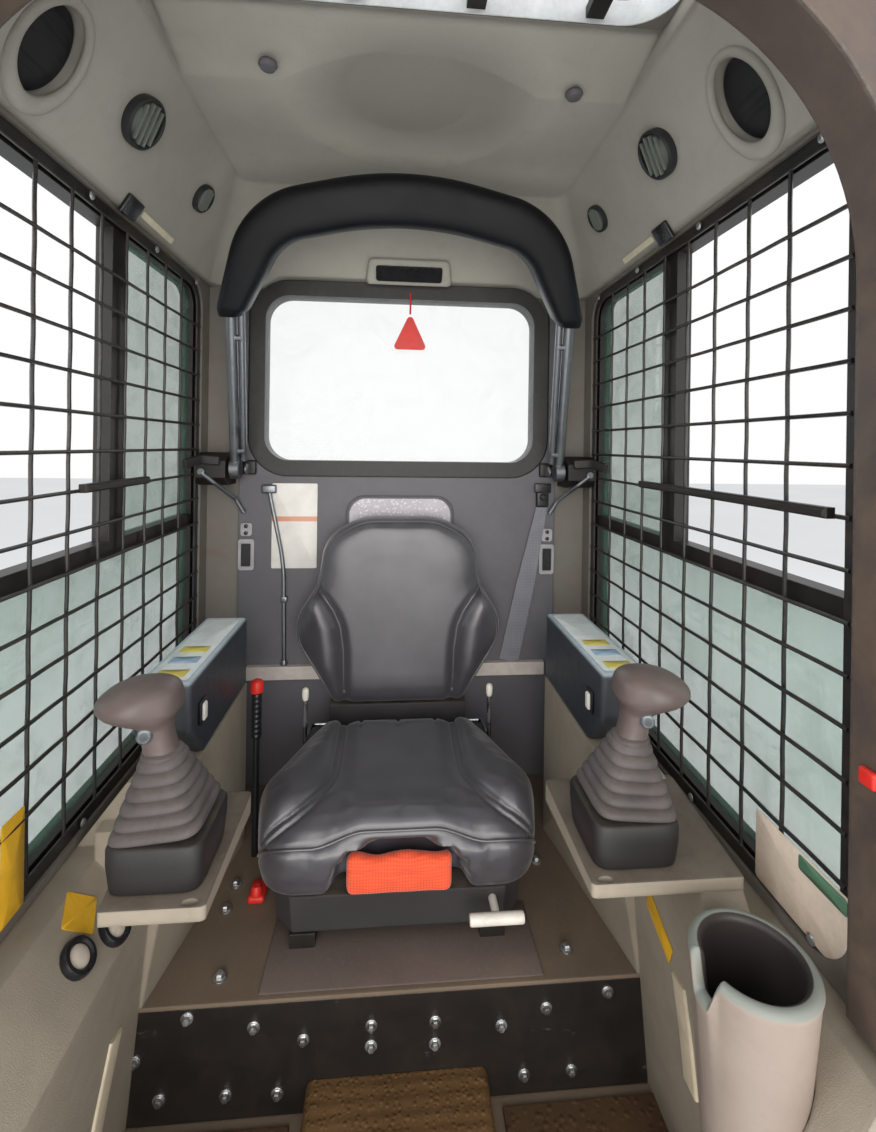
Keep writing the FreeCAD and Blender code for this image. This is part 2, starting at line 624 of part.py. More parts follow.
def screens():
    """Welded wire screens on the side windows: a rim with upright wires and level wires laid over them."""
    gap = d.seat_gap
    y = (d.window_front + gap, d.window_back - gap)
    z = (d.side_low + gap, d.side_high - gap)
    rows = int((d.window_tall - 2 * d.screen_rim) // d.pitch_z)
    columns = int((d.window_long - 2 * d.screen_rim) // d.pitch_y)
    y_start = (y[0] + y[1] - columns * d.pitch_y + d.wire) / 2
    z_start = (z[0] + z[1] - rows * d.pitch_z + d.wire) / 2
    reach = (y_start - d.screen_rim / 2, y_start + columns * d.pitch_y - d.wire + d.screen_rim / 2)
    tall = (z_start, z_start + rows * d.pitch_z - d.wire)
    for side, sign in SIDES:
        near = d.inner + d.screen_inset
        level = (sign * near, sign * (near + d.wire_deep))
        upright = (sign * (near + d.wire_deep + gap), sign * (near + gap + 2 * d.wire_deep))
        starts = [y_start + column * d.pitch_y for column in range(columns)]
        slits = [block(upright, (start, start + d.pitch_y - d.wire), tall) for start in starts]
        rim = rounded_block(upright, y, z, d.side_radius - gap, X_AXIS).cut(Part.makeCompound(slits))
        tops = [z_start + row * d.pitch_z for row in range(1, rows)]
        wires = [block(level, reach, (top - d.wire, top)) for top in tops]
        shaped(f"side_screen_{side}", Part.makeCompound([rim, *wires]))


def side_windows():
    """Each side window: a frame with a middle rail, a fixed low pane and the sliding pane at the rear."""
    gap, track = d.seat_gap, d.track
    y = (d.window_front + gap, d.window_back - gap)
    z = (d.side_low + gap, d.side_high - gap)
    light_y = (y[0] + track, y[1] - track)
    light_z = (z[0] + track, z[1] - track)
    middle = (y[0] + y[1]) / 2 + d.stile_back
    radius = d.side_radius - track
    for side, sign in SIDES:
        near = d.inner + d.screen_inset + 2 * d.wire_deep + gap + d.track_gap
        far = d.half_width - d.track_inset
        x = (sign * near, sign * far)
        ring = rounded_block(x, y, z, d.side_radius - gap, X_AXIS)
        frame = ring.cut(rounded_block(x, light_y, light_z, radius, X_AXIS))
        rail = block(x, light_y, (d.rail_low, d.rail_top))
        stile = block(x, (middle - d.stile / 2, middle + d.stile / 2), (d.rail_top, light_z[1]))
        shaped(f"side_window_frame_{side}", frame.fuse([rail, stile]).removeSplitter())
        pane_x = (sign * (near + far - d.pane) / 2, sign * (near + far + d.pane) / 2)
        light = rounded_block(pane_x, light_y, light_z, radius, X_AXIS)
        low = light.common(block(pane_x, light_y, (light_z[0], d.rail_low)))
        high = light.common(block(pane_x, (middle + d.stile / 2, light_y[1]), (d.rail_top, light_z[1])))
        shaped(f"side_glass_{side}", Part.makeCompound([low, high]))


def rear_ring(spread, y):
    """The rear window's rounded form, larger than its opening by a spread, between two Y."""
    return rounded_block((-d.view_half - spread, d.view_half + spread), y,
                         (d.view_low - spread, d.view_high + spread), d.view_radius + spread, Y_AXIS)


def rear_window():
    """The rear window's pane in its rubber, which laps over the wall, and the tag that releases it."""
    gap, face = d.seat_gap, d.rear_face
    sleeve = rear_ring(-gap, (face - d.lip_thick, d.half_depth - d.lip_thick))
    lip = rear_ring(d.seal_lip, (face - d.lip_thick, face - gap))
    light = rear_ring(-d.seal, (face - d.lip_thick, d.half_depth))
    shaped("rear_window_seal", sleeve.fuse(lip).removeSplitter().cut(light))
    shaped("rear_glass", rear_ring(-d.seal, (face + d.lip_thick, face + d.lip_thick + d.pane)))
    y = face - d.lip_thick - gap - d.tag_thick
    high = d.view_high - d.seal - d.tag_drop
    low = high - d.tag_high
    half, x = d.tag_wide / 2, d.tag_x
    sign = rounded_outline([(Vector(x, y, high), d.plate), (Vector(x + half, y, low), d.plate),
                            (Vector(x - half, y, low), d.plate)])
    strap = block((x - d.plate, x + d.plate), (y, y + d.tag_thick), (high - 2 * d.plate, d.view_high))
    shaped("release_tag", Part.Face(sign).extrude(Y_AXIS * d.tag_thick).fuse(strap).removeSplitter())


def on_side_slope(x, y, sign):
    """A point on the liner's side slope above a half width x, and the slope's direction into the cab."""
    rise = d.ceiling - d.liner_low
    z = d.liner_low + (d.room_low - x) / d.slope_run * rise
    into = Vector(-sign * rise, 0, -d.slope_run).normalize()
    return Vector(sign * x, y, z), into


# how far down the side slope, Y, share of the full radius
VENTS = ((0.54, -70, 1.0), (0.55, 169, 0.72))
SPEAKER = (0.36, -238)


def slots(reach, spot, into, count, wide, deep):
    """Flat vanes in one plane across a round or oval opening, each as long as the opening is there."""
    vanes = []
    side = into.cross(Y_AXIS).normalize()
    for i in range(count):
        offset = (2 * (i + 1) / (count + 1) - 1) * reach[1]
        half = reach[0] * math.sqrt(1 - (offset / reach[1]) ** 2)
        vane = Part.makeBox(2 * half, wide, deep, Vector(-half, -wide / 2, 0))
        vane.Placement = Placement(spot + Y_AXIS * offset, Rotation(side, Y_AXIS, into))
        vanes.append(vane)
    return vanes


def headliner():
    """A moulded liner: a block with the head room, the slope to the roof window, a dome and pockets in it."""
    gap, edge = d.seat_gap, d.liner_half
    front = d.hoop_back + gap
    top = d.roof_under - gap
    liner = block((-edge, edge), (front, d.rear_face - gap), (d.liner_low, top))
    before = front - 2 * d.liner_radius
    room = frustum((-d.room_low, d.room_low, before, d.room_back, d.liner_low),
                   (-d.room_high, d.room_high, before, d.room_back - d.rear_run, d.ceiling), d.liner_radius)
    rise = along([(d.sky_far + d.flare, d.ceiling), (d.sky_far, top), (before, top), (before, d.ceiling)],
                 (-d.sky_half, d.sky_half))
    window = rounded_block((-d.sky_half, d.sky_half), (d.sky_low, d.sky_far), (d.ceiling, top),
                           d.sky_radius, Z_AXIS)
    dome = Part.makeCone(d.dome_radius, d.dome_radius / 2, d.dome_deep, Vector(0, d.dome_y, d.ceiling))
    rear = rear_ring(d.seal_lip + d.trim_gap, (d.room_back - d.rear_run / 2, d.rear_face))
    liner = liner.cut(room).cut(rise.fuse(window)).cut(dome).cut(rear)
    pockets = []
    grilles = []
    long, wide = d.pocket_long / 2, d.pocket_wide / 2
    for sign in (-1, 1):
        spot, into = on_side_slope(d.room_low - SPEAKER[0] * d.slope_run, SPEAKER[1], sign)
        side = into.cross(Y_AXIS).normalize()
        oval = Part.Face(rounded_outline([(Vector(a, b, 0), wide - gap) for a, b in
                                          ((long, wide), (-long, wide), (-long, -wide), (long, -wide))]))
        pocket = oval.extrude(Z_AXIS * 2 * d.pocket_deep)
        pocket.Placement = Placement(spot - into * d.pocket_deep, Rotation(side, Y_AXIS, into))
        pockets.append(pocket)
        floor = spot - into * (d.pocket_deep - gap)
        bars = slots((long - d.vane, wide - gap), floor, into, 5, d.vane, d.vane)
        plate = oval.extrude(Z_AXIS * d.vane / 2)
        plate.Placement = Placement(floor, Rotation(side, Y_AXIS, into))
        grilles.append(plate.common(pocket).fuse(bars).removeSplitter())
    liner = liner.cut(Part.makeCompound(pockets))
    shaped("headliner", liner)
    shaped("speaker_grilles", Part.makeCompound(grilles))


def liner_fittings():
    """Round air vents on the liner's slopes, each a ring with vanes, and the lamp over the rear window."""
    vents = []
    for sign in (-1, 1):
        for down, y, share in VENTS:
            spot, into = on_side_slope(d.room_low - down * d.slope_run, y, sign)
            radius = d.vent_radius * share
            foot = spot + into * d.seat_gap
            rim = d.vane
            sides = int(d.vent_sides)
            outline = [(radius, 0), (radius, d.vent_deep / 2), (radius - rim / 2, d.vent_deep)]
            ring = turned(outline, sides, foot, into)
            ring = ring.cut(turned([(radius - rim, rim), (radius - rim, d.vent_deep)], sides, foot, into))
            bars = slots((radius - rim / 2, radius - rim / 2), foot, into, 4, rim, d.vent_deep - rim)
            vents.append(ring.fuse(bars).removeSplitter())
    shaped("air_vents", Part.makeCompound(vents))
    rise = d.ceiling - d.liner_low
    z = d.liner_low + d.lamp_high / 2 + d.lamp_thick
    y = d.room_back - (z - d.liner_low) / rise * d.rear_run
    half, tall = d.lamp_wide / 2, d.lamp_high / 2
    lamp = rounded_block((-half, half), (-d.lamp_thick, -d.seat_gap), (-tall, tall), d.vane, Y_AXIS)
    lamp.Placement = Placement(Vector(0, y, z), Rotation(X_AXIS, math.degrees(math.atan2(d.rear_run, rise))))
    shaped("header_lamp", lamp)


def cup_cone(spread, low):
    """The cup holder's cone, wider than its outside by a spread, from a height over its foot."""
    slim = d.cup_radius - d.cup_taper + spread
    start = slim + d.cup_taper * low / d.cup_high
    return turned([(start, low), (d.cup_radius + spread, d.cup_high)], int(d.cup_sides),
                  Vector(d.cup_x, d.cup_y, d.cup_top - d.cup_high), Z_AXIS)


def console(sign):
    """The console under an armrest: cut back at the foot, most of all at its front."""
    outline = [(d.arm_inner, d.deck_height), (d.arm_inner, d.console_top),
               (d.arm_inner + d.arm_wide, d.console_top),
               (d.liner_half, d.ledge_z), (d.liner_half, d.deck_height)]
    body = across(outline, sign, (d.bulkhead_face, d.arm_back))
    foot = d.arm_inner + d.console_foot
    tip = Vector(sign * d.arm_inner, d.bulkhead_face, d.console_top)
    toe = Vector(sign * foot, d.bulkhead_face, d.deck_height)
    heel = Vector(sign * d.arm_inner, d.arm_back, d.deck_height)
    corner = Vector(sign * d.arm_inner, d.bulkhead_face, d.deck_height)
    wedge = faceted([(tip, heel, toe), (corner, tip, toe), (corner, toe, heel), (corner, heel, tip)])
    return body.cut(wedge)


def front_trim(sign):
    """The trim in front of a console: a ledge under the window, a slope and a face that leans outwards."""
    outline = [(d.trim_edge, d.trim_low), (d.liner_half - d.ledge, d.ledge_z), (d.liner_half, d.ledge_z),
               (d.liner_half, d.floor_thick), (d.trim_edge + d.trim_lean, d.floor_thick)]
    body = across(outline, sign, (d.sill_deep - d.half_depth, d.bulkhead_face))
    front = d.sill_deep - d.half_depth
    toe = along([(front, d.floor_thick), (d.bulkhead_face, d.floor_thick), (d.bulkhead_face, d.side_low),
                 (d.hoop_front, d.side_low), (front, d.toe_height)], (-d.inner, d.inner))
    return body.common(toe)


def shelf(sign):
    """The shelf that carries a control tower, on a web; the left one leaves the slope beside it bare."""
    near = d.tower_x - d.tower_wide / 2 - d.shelf_edge
    front = d.tower_front - d.shelf_nose
    far = d.liner_half - d.ledge
    edge, start = (far, front + d.shelf_edge) if sign > 0 else (d.trim_edge + d.shelf_edge,
                                                                d.bulkhead_face - d.shelf_nose)
    level = (d.shelf_high - d.shelf_thick, d.shelf_high)
    plate = rounded_block((sign * near, sign * edge), (front, d.arm_y), level, d.shelf_edge, Z_AXIS)
    web = across([(d.trim_edge, level[0]), (far, level[0]), (far, d.ledge_z - 1), (d.trim_edge, d.trim_low)],
                 sign, (start, d.bulkhead_face))
    hole = Part.makeCylinder(d.shelf_bore, d.shelf_thick, Vector(sign * (near + 2 * d.shelf_bore),
                                                                 front + d.shelf_nose / 2, level[0]))
    return plate.fuse(web).cut(hole)


def side_trims():
    """Moulded side trims: a console under each armrest, a sloping trim in front of it and a tower's shelf."""
    for side, sign in SIDES:
        trim = console(sign).fuse([front_trim(sign), shelf(sign)]).removeSplitter()
        if sign > 0:
            well = cup_cone(d.seat_gap, 0)
            y = d.cup_y + d.cup_radius + d.niche_radius
            niche = Part.makeCylinder(d.niche_radius, d.cup_high, Vector(
                d.trim_edge + d.shelf_edge, y, d.shelf_high - d.cup_high / 2))
            trim = trim.cut(well).cut(niche.cut(block((0, d.inner), (d.tower_front - d.shelf_nose, 0),
                                                      (0, d.shelf_high))))
        shaped(f"side_trim_{side}", trim)


def armrests():
    """A long box for the forearm over each console, its front end cut back underneath."""
    low = d.console_top
    outline = [(d.arm_y, d.arm_top), (d.arm_y, low + d.arm_nose), (d.arm_y + d.arm_nose, low),
               (d.arm_back, low), (d.arm_back, d.arm_top)]
    for side, sign in SIDES:
        x = sorted((sign * d.arm_inner, sign * (d.arm_inner + d.arm_wide)))
        body = along(outline, x)
        top = d.arm_top
        shaped(f"armrest_{side}", bevelled(body, d.arm_radius, lambda p: abs(p.z - top) < 1))


def control_towers():
    """The tapered base, pleated boot and palm grip of each control lever, which leans outward."""
    gap = d.seat_gap
    half, corner, draw = d.tower_wide / 2, d.tower_radius, d.tower_taper
    lean = math.radians(d.lever_lean)
    count = int(d.pleats)
    grip, low, high = d.grip_radius, d.grip_low, d.grip_high
    turn = [(d.stem_radius, d.boot_high + gap), (d.stem_radius * 0.9, low), (grip * 0.7, low + high * 0.1),
            (grip * 0.95, low + high * 0.3), (grip, low + high * 0.52), (grip * 0.94, low + high * 0.74),
            (grip * 0.74, low + high * 0.92), (grip * 0.4, low + high)]
    for side, sign in SIDES:
        middle = Vector(sign * d.tower_x, d.tower_y, d.shelf_high + gap)
        upper = middle + Z_AXIS * (d.tower_high - gap)
        tower = stacked([square_ring(middle, half, corner), square_ring(upper, half - draw, corner)])
        shaped(f"tower_{side}", tower)
        foot = Vector(sign * (d.tower_x + d.lever_out), d.tower_y, d.tower_top + gap)
        way = Vector(sign * math.sin(lean), 0, math.cos(lean))
        rings = []
        for i in range(2 * count + 1):
            share = i / (2 * count)
            radius = d.boot_radius + (d.boot_neck - d.boot_radius) * share - (i % 2) * d.pleat
            rings.append(square_ring(foot + way * d.boot_high * share, radius, radius * 0.4))
        shaped(f"boot_{side}", stacked(rings))
        shaped(f"lever_{side}", turned(turn, int(d.grip_sides), foot + way * draw, way))


def cup_holder():
    """A round cup holder that tapers to its foot, with a slot for a mug's handle and a rounded rim."""
    low, half = d.cup_top - d.cup_slot_deep, d.cup_slot / 2
    slot = rounded_block((d.cup_x - 2 * d.cup_radius, d.cup_x), (d.cup_y - half, d.cup_y + half),
                         (low, d.cup_top + half + d.cup_slot), half - 1, X_AXIS)
    shaped("cup_holder", cup_cone(0, 0).cut(cup_cone(-d.cup_wall, d.cup_wall)).cut(slot))


def rear_fittings():
    """What is on the rear wall: the trim panel round the window, the cross bar and the stay rod."""
    gap, face = d.seat_gap, d.trim_face
    spread = "(seal_lip + trim_gap)"
    corners = [("-trim_half", "deck_height"), ("trim_half", "deck_height"), ("trim_half", "liner_low"),
               ("-trim_half", "liner_low")]
    view = (f"-view_half - {spread}", f"view_low - {spread}", f"view_half + {spread}",
            f"view_high + {spread} + seal_lip", f"view_radius + {spread}")
    flat_plate("rear_trim", "XZ", "-trim_face", "trim_thick - seat_gap", corners, view, reverse=True)
    hump = rounded_block((-d.hump_half, d.hump_half), (face - d.hump_thick, face - gap),
                         (d.deck_height, d.deck_height + d.hump_high), d.hump_half / 6, Y_AXIS)
    shaped("rear_hump", hump)
    bars = []
    level = (d.cross_z - d.cross_high / 2, d.cross_z + d.cross_high / 2)
    for sign in (-1, 1):
        x = (sign * (d.hump_half + gap), sign * d.cross_half)
        bars.append(block(x, (face - d.cross_thick, face - gap), level))
    shaped("rear_cross_bar", Part.makeCompound(bars))
    y = face - d.cross_thick / 2
    foot = Vector(d.stay_foot, y, level[1] + gap)
    top = Vector(d.stay_top, y, level[1] + d.stay_long)
    rod = stacked([square_ring(foot, d.stay_radius, d.stay_radius / 2),
                   square_ring(top, d.stay_radius, d.stay_radius / 2)])
    clip = block((d.stay_top - d.cross_thick, d.stay_top + d.stay_radius), (y, face - gap),
                 (top.z - d.cross_thick, top.z - d.stay_radius / 2))
    shaped("stay_rod", rod.fuse(clip).removeSplitter())


def seat_belt():
    """The belt: a guide high on the rear wall and a strap down to the cross bar."""
    gap, face = d.seat_gap, d.trim_face
    low = d.pivot_z - d.bracket_high / 2 - d.reel_high
    guide = block((d.belt_x - d.reel_wide / 2, d.belt_x + d.reel_wide / 2), (face - d.reel_deep, face - gap),
                  (low, low + d.reel_high))
    shaped("belt_retractor", guide)
    y = face - d.reel_deep / 2
    high, half, slim = low - gap, d.belt_wide / 2, d.reel_wide / 2
    foot = d.cross_z + d.cross_high / 2 + gap
    corners = [(d.belt_x - slim, high), (d.belt_x + slim, high), (d.belt_foot + half, foot),
               (d.belt_foot - half, foot)]
    points = [Vector(x, y, z) for x, z in corners]
    shaped("seat_belt", Part.Face(Part.makePolygon(points + points[:1])).extrude(Y_AXIS * d.belt_thick))


# Y and share of the way up the slope, for each round socket in the left trim
SOCKETS = ((-205, 0.45), (-150, 0.24))


def small_controls():
    """The lever beside the seat, the round sockets in the left trim and the window catches."""
    gap = d.seat_gap
    cap = d.hip_cap / 2
    foot = Vector(d.hip_x, d.hip_y, d.deck_height)
    head = foot + Z_AXIS * d.hip_high
    post = stacked([square_ring(foot, cap / 2, cap / 6), square_ring(head, cap / 2, cap / 6)])
    knob = stacked([square_ring(head, cap, cap / 2), square_ring(head + Z_AXIS * cap, cap, cap / 2),
                    square_ring(head + Z_AXIS * d.hip_cap, cap * 0.7, cap / 3)])
    shaped("hip_lever", post.fuse(knob))
    run = d.liner_half - d.ledge - d.trim_edge
    rise = d.ledge_z - d.trim_low
    into = Vector(rise, 0, run).normalize()
    r, high = d.socket_radius, d.socket_high
    sockets = []
    for y, share in SOCKETS:
        foot = Vector(-d.trim_edge - run * share, y, d.trim_low + rise * share) + into * gap
        rim = turned([(r, 0), (r, high / 2), (r * 0.9, high)], int(d.vent_sides), foot, into)
        sockets.append(rim.cut(turned([(r * 0.6, high / 2), (r * 0.6, high)], int(d.vent_sides), foot, into)))
    shaped("trim_sockets", Part.makeCompound(sockets))
    catches = []
    z = d.rail_low + d.catch_rise
    for sign, front in ((-1, d.tower_y + d.tower_deep), (1, d.window_front + d.shelf_thick)):
        x = (sign * (d.inner - d.catch_wide), sign * (d.inner + d.screen_inset - gap))
        bar = block(x, (front, d.catch_back), (z, z + d.catch_wide))
        catches.append(bevelled(bar, d.catch_wide / 4, lambda p: abs(p.x) < d.inner - d.catch_wide + 1))
    shaped("window_catches", Part.makeCompound(catches))


def seat():
    """The seat on its runners: pan, cushion, backrest with its frame, levers and the pouch under its nose."""
    gap = d.seat_gap
    front, back, low, top = d.seat_y, d.seat_back, d.seat_low, d.seat_top
    start, half = front + d.pan_inset, d.runner_wide / 2
    runners = [block((x - half, x + half), (start, start + d.runner_long),
                     (d.deck_height, d.deck_height + d.runner_high)) for x in (-d.runner_x, d.runner_x)]
    shaped("seat_runners", Part.makeCompound(runners))
    base_low = d.deck_height + d.runner_high + gap
    tail = back + d.back_thick
    draw = d.tower_taper
    pan = [cut_ring((inset - d.pan_half, d.pan_half - inset), (start + inset, tail), z, d.pan_radius)
           for inset, z in ((draw, base_low), (0, low - gap))]
    shaped("seat_pan", stacked(pan))
    half, notch = d.seat_half, d.notch_half
    plan = [(Vector(d.seat_tail, back, low), d.seat_edge),
            (Vector(half, front + d.seat_corner * 2, low), d.seat_corner),
            (Vector(half - d.seat_edge, front, low), d.seat_corner)]
    cushion = Part.Face(rounded_outline(mirrored(plan))).extrude(Z_AXIS * d.seat_thick)
    hollow = block((-notch, notch), (front - gap, front + d.notch_deep), (low, low + d.notch_high))
    hollow = bevelled(hollow, d.notch_deep / 3,
                      lambda p: abs(p.z - low - d.notch_high) < 1 and abs(p.x) > notch - 1)
    shaped("seat_cushion", cushion.cut(hollow))
    y = back + gap
    shaped("seat_backrest", backrest(y))
    shaped("seat_back_frame", block((-d.frame_half, d.frame_half), (y + d.back_edge, tail), (low, top - gap)))
    pouch = block((-d.pouch_half, d.pouch_half), (front + gap, front + d.pouch_thick),
                  (low, low + d.notch_high - d.pouch_radius))
    shaped("orange_pouch", bevelled(pouch, d.pouch_radius, lambda p: abs(p.x) > d.pouch_half - 1
                                    and abs(p.y - front - d.pouch_thick / 2) < d.pouch_thick / 4))
    r = d.handle_radius
    grip = block((d.handle_x - d.handle_wide / 2, d.handle_x + d.handle_wide / 2), (front - 3 * r, front - r),
                 (low - 3 * r, low - r))
    grip = bevelled(grip, r / 2, lambda p: abs(p.x - d.handle_x) < 1)
    rise, tall = low - 1.5 * r, low - gap - base_low
    end = start + draw * (low - gap - rise) / tall - gap
    shank = block((d.handle_x - r, d.handle_x + r), (front - 2 * r, end), (rise - r, rise))
    shaped("slide_handle", grip.fuse(shank).removeSplitter())
    x = d.seat_tail + d.seat_edge + d.recline_radius
    side = d.frame_half + gap
    levers = []
    for sign in (-1, 1):
        level = low + d.notch_high
        y, r = tail - d.back_edge, d.recline_radius
        rear = back - 2 * d.back_edge
        path = [Vector(sign * side, y, level), Vector(sign * x, y, level), Vector(sign * x, rear, level),
                Vector(sign * x, rear, top + d.recline_high)]
        ring = [path[0] + Vector(0, dy, dz) for dy, dz in ((-r, -r), (r, -r), (r, r), (-r, r))]
        levers.append(mitred_bar(path, ring))
    shaped("recline_levers", Part.makeCompound(levers))


# share of the backrest's half width, share of its height, corner radius as a share of the wings' half width
BACKREST = ((0.62, 0.0, 0.08), (0.73, 0.14, 0.2), (1.04, 0.37, 0.22), (0.78, 0.62, 0.3), (0.7, 0.9, 0.3),
            (0.4, 1.0, 0.3))


def backrest(y):
    """The backrest: its outline has wings over the hips and a slimmer shoulder."""
    half = [(Vector(d.back_half * x, y, d.seat_top + d.seat_gap + d.back_high * z), d.back_half * r)
            for x, z, r in BACKREST]
    return Part.Face(rounded_outline(mirrored(half))).extrude(Y_AXIS * d.back_thick)


def hoop_line():
    """The restraint bar's middle line in its own plane: the corners of one half, from pivot to crown."""
    foot = Vector(d.bar_half, 0, 0)
    knee = Vector(d.bar_half - d.leg_in, 0, d.leg_long)
    shoulder = Vector(d.bar_hip_half, 0, d.bar_hip)
    return foot, knee, shoulder, Vector(0, 0, d.bar_reach)


def hoop_core(spread):
    """The flat strap inside the foam, from leg to leg, wider than its real section by a spread."""
    _, knee, shoulder, crown = hoop_line()
    wide, thick = d.core_wide / 2 + spread, d.core_thick / 2 + spread
    foot = knee - Z_AXIS * spread
    path = [Vector(-foot.x, 0, foot.z), Vector(-shoulder.x, 0, shoulder.z), crown, shoulder, foot]
    section = ((-thick, -wide), (thick, -wide), (thick, wide), (-thick, wide))
    ring = [path[0] + Vector(dx, dy, 0) for dx, dy in section]
    return mitred_bar(path, ring)


def foam_pad():
    """The foam round the bar's arch, thick at the crown and slimmer at its ends, bored for the tube."""
    _, knee, shoulder, crown = hoop_line()
    out = Vector(d.pad_side, 0, d.pad_rise)
    end = d.pad_half * 0.7
    outer = [(crown + Z_AXIS * d.pad_crown, d.pad_bend), (shoulder + out, d.pad_outer_bend),
             (knee + X_AXIS * d.pad_half, end)]
    inner = [(knee - X_AXIS * d.pad_half, end), (shoulder - out, d.pad_inner_bend),
             (crown - Z_AXIS * d.pad_crown, d.pad_bend)]
    right = outer + inner
    left = [(Vector(-p.x, 0, p.z), r) for p, r in reversed(right[1:-1])]
    face = Part.Face(rounded_outline(right + left))
    foam = face.extrude(Y_AXIS * d.pad_deep)
    foam.translate(Y_AXIS * -d.pad_deep / 2)
    return foam.cut(hoop_core(d.seat_gap))


def restraint_bar():
    """A hoop of tube with twin legs on two pivots, and a foam pad round its arch."""
    spot = Placement(Vector(0, d.pivot_y, d.pivot_z), Rotation(X_AXIS, d.bar_lean))
    foot, knee = hoop_line()[:2]
    extra = []
    inward = d.bar_tube + d.bar_twin + d.twin_gap
    for sign in (-1, 1):
        low = Vector(sign * (foot.x - inward), 0, d.eye_radius)
        high = Vector(sign * (knee.x - inward), 0, knee.z - d.bar_twin)
        extra.append(Part.makeCylinder(d.bar_twin, (high - low).Length, low, high - low))
        low, high = Vector(sign * foot.x, 0, 0), Vector(sign * knee.x, 0, knee.z)
        extra.append(Part.makeCylinder(d.bar_tube, (high - low).Length, low, high - low))
        for z in (2 * d.eye_radius, knee.z - 2 * d.eye_radius):
            x = foot.x + (knee.x - foot.x) * z / knee.z
            extra.append(block((sign * x, sign * (x - inward)), (-d.bar_twin / 2, d.bar_twin / 2),
                               (z - d.bar_twin, z + d.bar_twin)))
        face = Vector(sign * foot.x - d.eye_thick / 2, 0, 0)
        extra.append(Part.makeCylinder(d.eye_radius, d.eye_thick, face, X_AXIS))
    bar = hoop_core(0).fuse(extra)
    for sign in (-1, 1):
        bar = bar.cut(Part.makeCylinder(d.pivot_pin + d.pin_play, 2 * d.eye_thick,
                                        Vector(sign * foot.x - d.eye_thick, 0, 0), X_AXIS))
    bar = bar.removeSplitter()
    foam = foam_pad()
    for label, shape in (("restraint_bar", bar), ("restraint_pad", foam)):
        shape.Placement = spot
        shaped(label, shape)
    near = d.bar_half + d.eye_thick / 2 + d.pivot_gap
    back, z, tall = d.rear_face - d.seat_gap, d.pivot_z, d.bracket_high / 2
    nose = d.pivot_y - d.bracket_nose
    outline = [(back, z - tall), (back, z + tall), (d.pivot_y, z + tall), (nose, z + tall / 2),
               (nose, z - tall / 2), (d.pivot_y, z - tall)]
    brackets = []
    for sign in (-1, 1):
        bracket = along(outline, sorted((sign * near, sign * d.liner_half)))
        pin = Part.makeCylinder(d.pivot_pin, near - d.bar_half + d.eye_thick / 2,
                                Vector(sign * near, d.pivot_y, z), Vector(-sign, 0, 0))
        brackets.append(bracket.fuse(pin))
    shaped("restraint_pivots", Part.makeCompound(brackets))


def main():
    """Builds every sub-part, checks it and writes its STEP file."""
    for build in (shell, roof_window, base, screens, side_windows, rear_window, headliner, liner_fittings,
                  side_trims, armrests, control_towers, cup_holder, rear_fittings, seat_belt, small_controls,
                  seat, restraint_bar):
        build()
    doc.recompute()
    for item in doc.Objects:
        assert not {"Invalid", "Error"} & set(item.State), f"{item.Label} failed: {item.State}"
    os.makedirs("parts", exist_ok=True)
    for piece in nodes:
        shape = piece.Shape
        assert not shape.isNull() and shape.isValid() and shape.Solids, f"{piece.Label} isn't a sound solid"
        shape.exportStep(os.path.join("parts", f"{piece.Label}.step"))
    print(f"{len(nodes)} nodes written")


main()
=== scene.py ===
"""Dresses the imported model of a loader's operator cab: finishes, detailed pieces, soft seat and a stage.

Lengths are metres in the row frame: X right, Y from the door to the rear wall, Z up.
"""
import json
import math
import bmesh
import bpy
import numpy as np
from bpy.props import FloatProperty, FloatVectorProperty, IntProperty, PointerProperty
from mathutils import Matrix, Vector
from mathutils.bvhtree import BVHTree


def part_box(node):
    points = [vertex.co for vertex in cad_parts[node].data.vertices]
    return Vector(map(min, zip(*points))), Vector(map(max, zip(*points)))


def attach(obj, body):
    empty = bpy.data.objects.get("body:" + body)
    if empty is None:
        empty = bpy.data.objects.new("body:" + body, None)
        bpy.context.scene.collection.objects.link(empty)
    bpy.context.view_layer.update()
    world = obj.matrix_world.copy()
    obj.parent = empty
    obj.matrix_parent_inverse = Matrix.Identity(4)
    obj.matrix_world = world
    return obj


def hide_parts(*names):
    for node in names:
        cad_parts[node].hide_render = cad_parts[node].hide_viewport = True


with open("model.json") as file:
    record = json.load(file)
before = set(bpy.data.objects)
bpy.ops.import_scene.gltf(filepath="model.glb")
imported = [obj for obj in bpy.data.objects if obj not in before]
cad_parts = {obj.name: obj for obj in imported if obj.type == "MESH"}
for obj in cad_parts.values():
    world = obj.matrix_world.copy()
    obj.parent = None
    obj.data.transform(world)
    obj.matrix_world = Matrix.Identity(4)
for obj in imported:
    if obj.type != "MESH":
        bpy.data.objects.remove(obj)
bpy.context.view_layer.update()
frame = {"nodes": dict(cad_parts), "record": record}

bl_info = {
    "name": "Operator cab dressing",
    "version": (1, 0, 0),
    "blender": (4, 5, 0),
    "location": "View3D > Sidebar > Cab",
    "description": "Adds the finishes and the detailed pieces of a loader's operator cab",
    "category": "Object",
}

BOX = {name: tuple(np.array(corner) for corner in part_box(name)) for name in frame["nodes"]}
SLOT_OF = {row["node"]: row["material_slot"] for row in frame["record"]["subparts"]}
SIDES = (("left", -1), ("right", 1))


# Sizes and colours that a user would change

def length(label, note, value):
    """A length property in metres."""
    return FloatProperty(name=label, description=note, default=value, min=0.0, unit="LENGTH", precision=4)


def tint(label, note, rgb):
    """A colour property from red, green and blue of 0 to 255 as they look on a screen."""
    return FloatVectorProperty(name=label, description=note, subtype="COLOR", size=3, min=0.0, max=1.0,
                               default=linear(rgb))


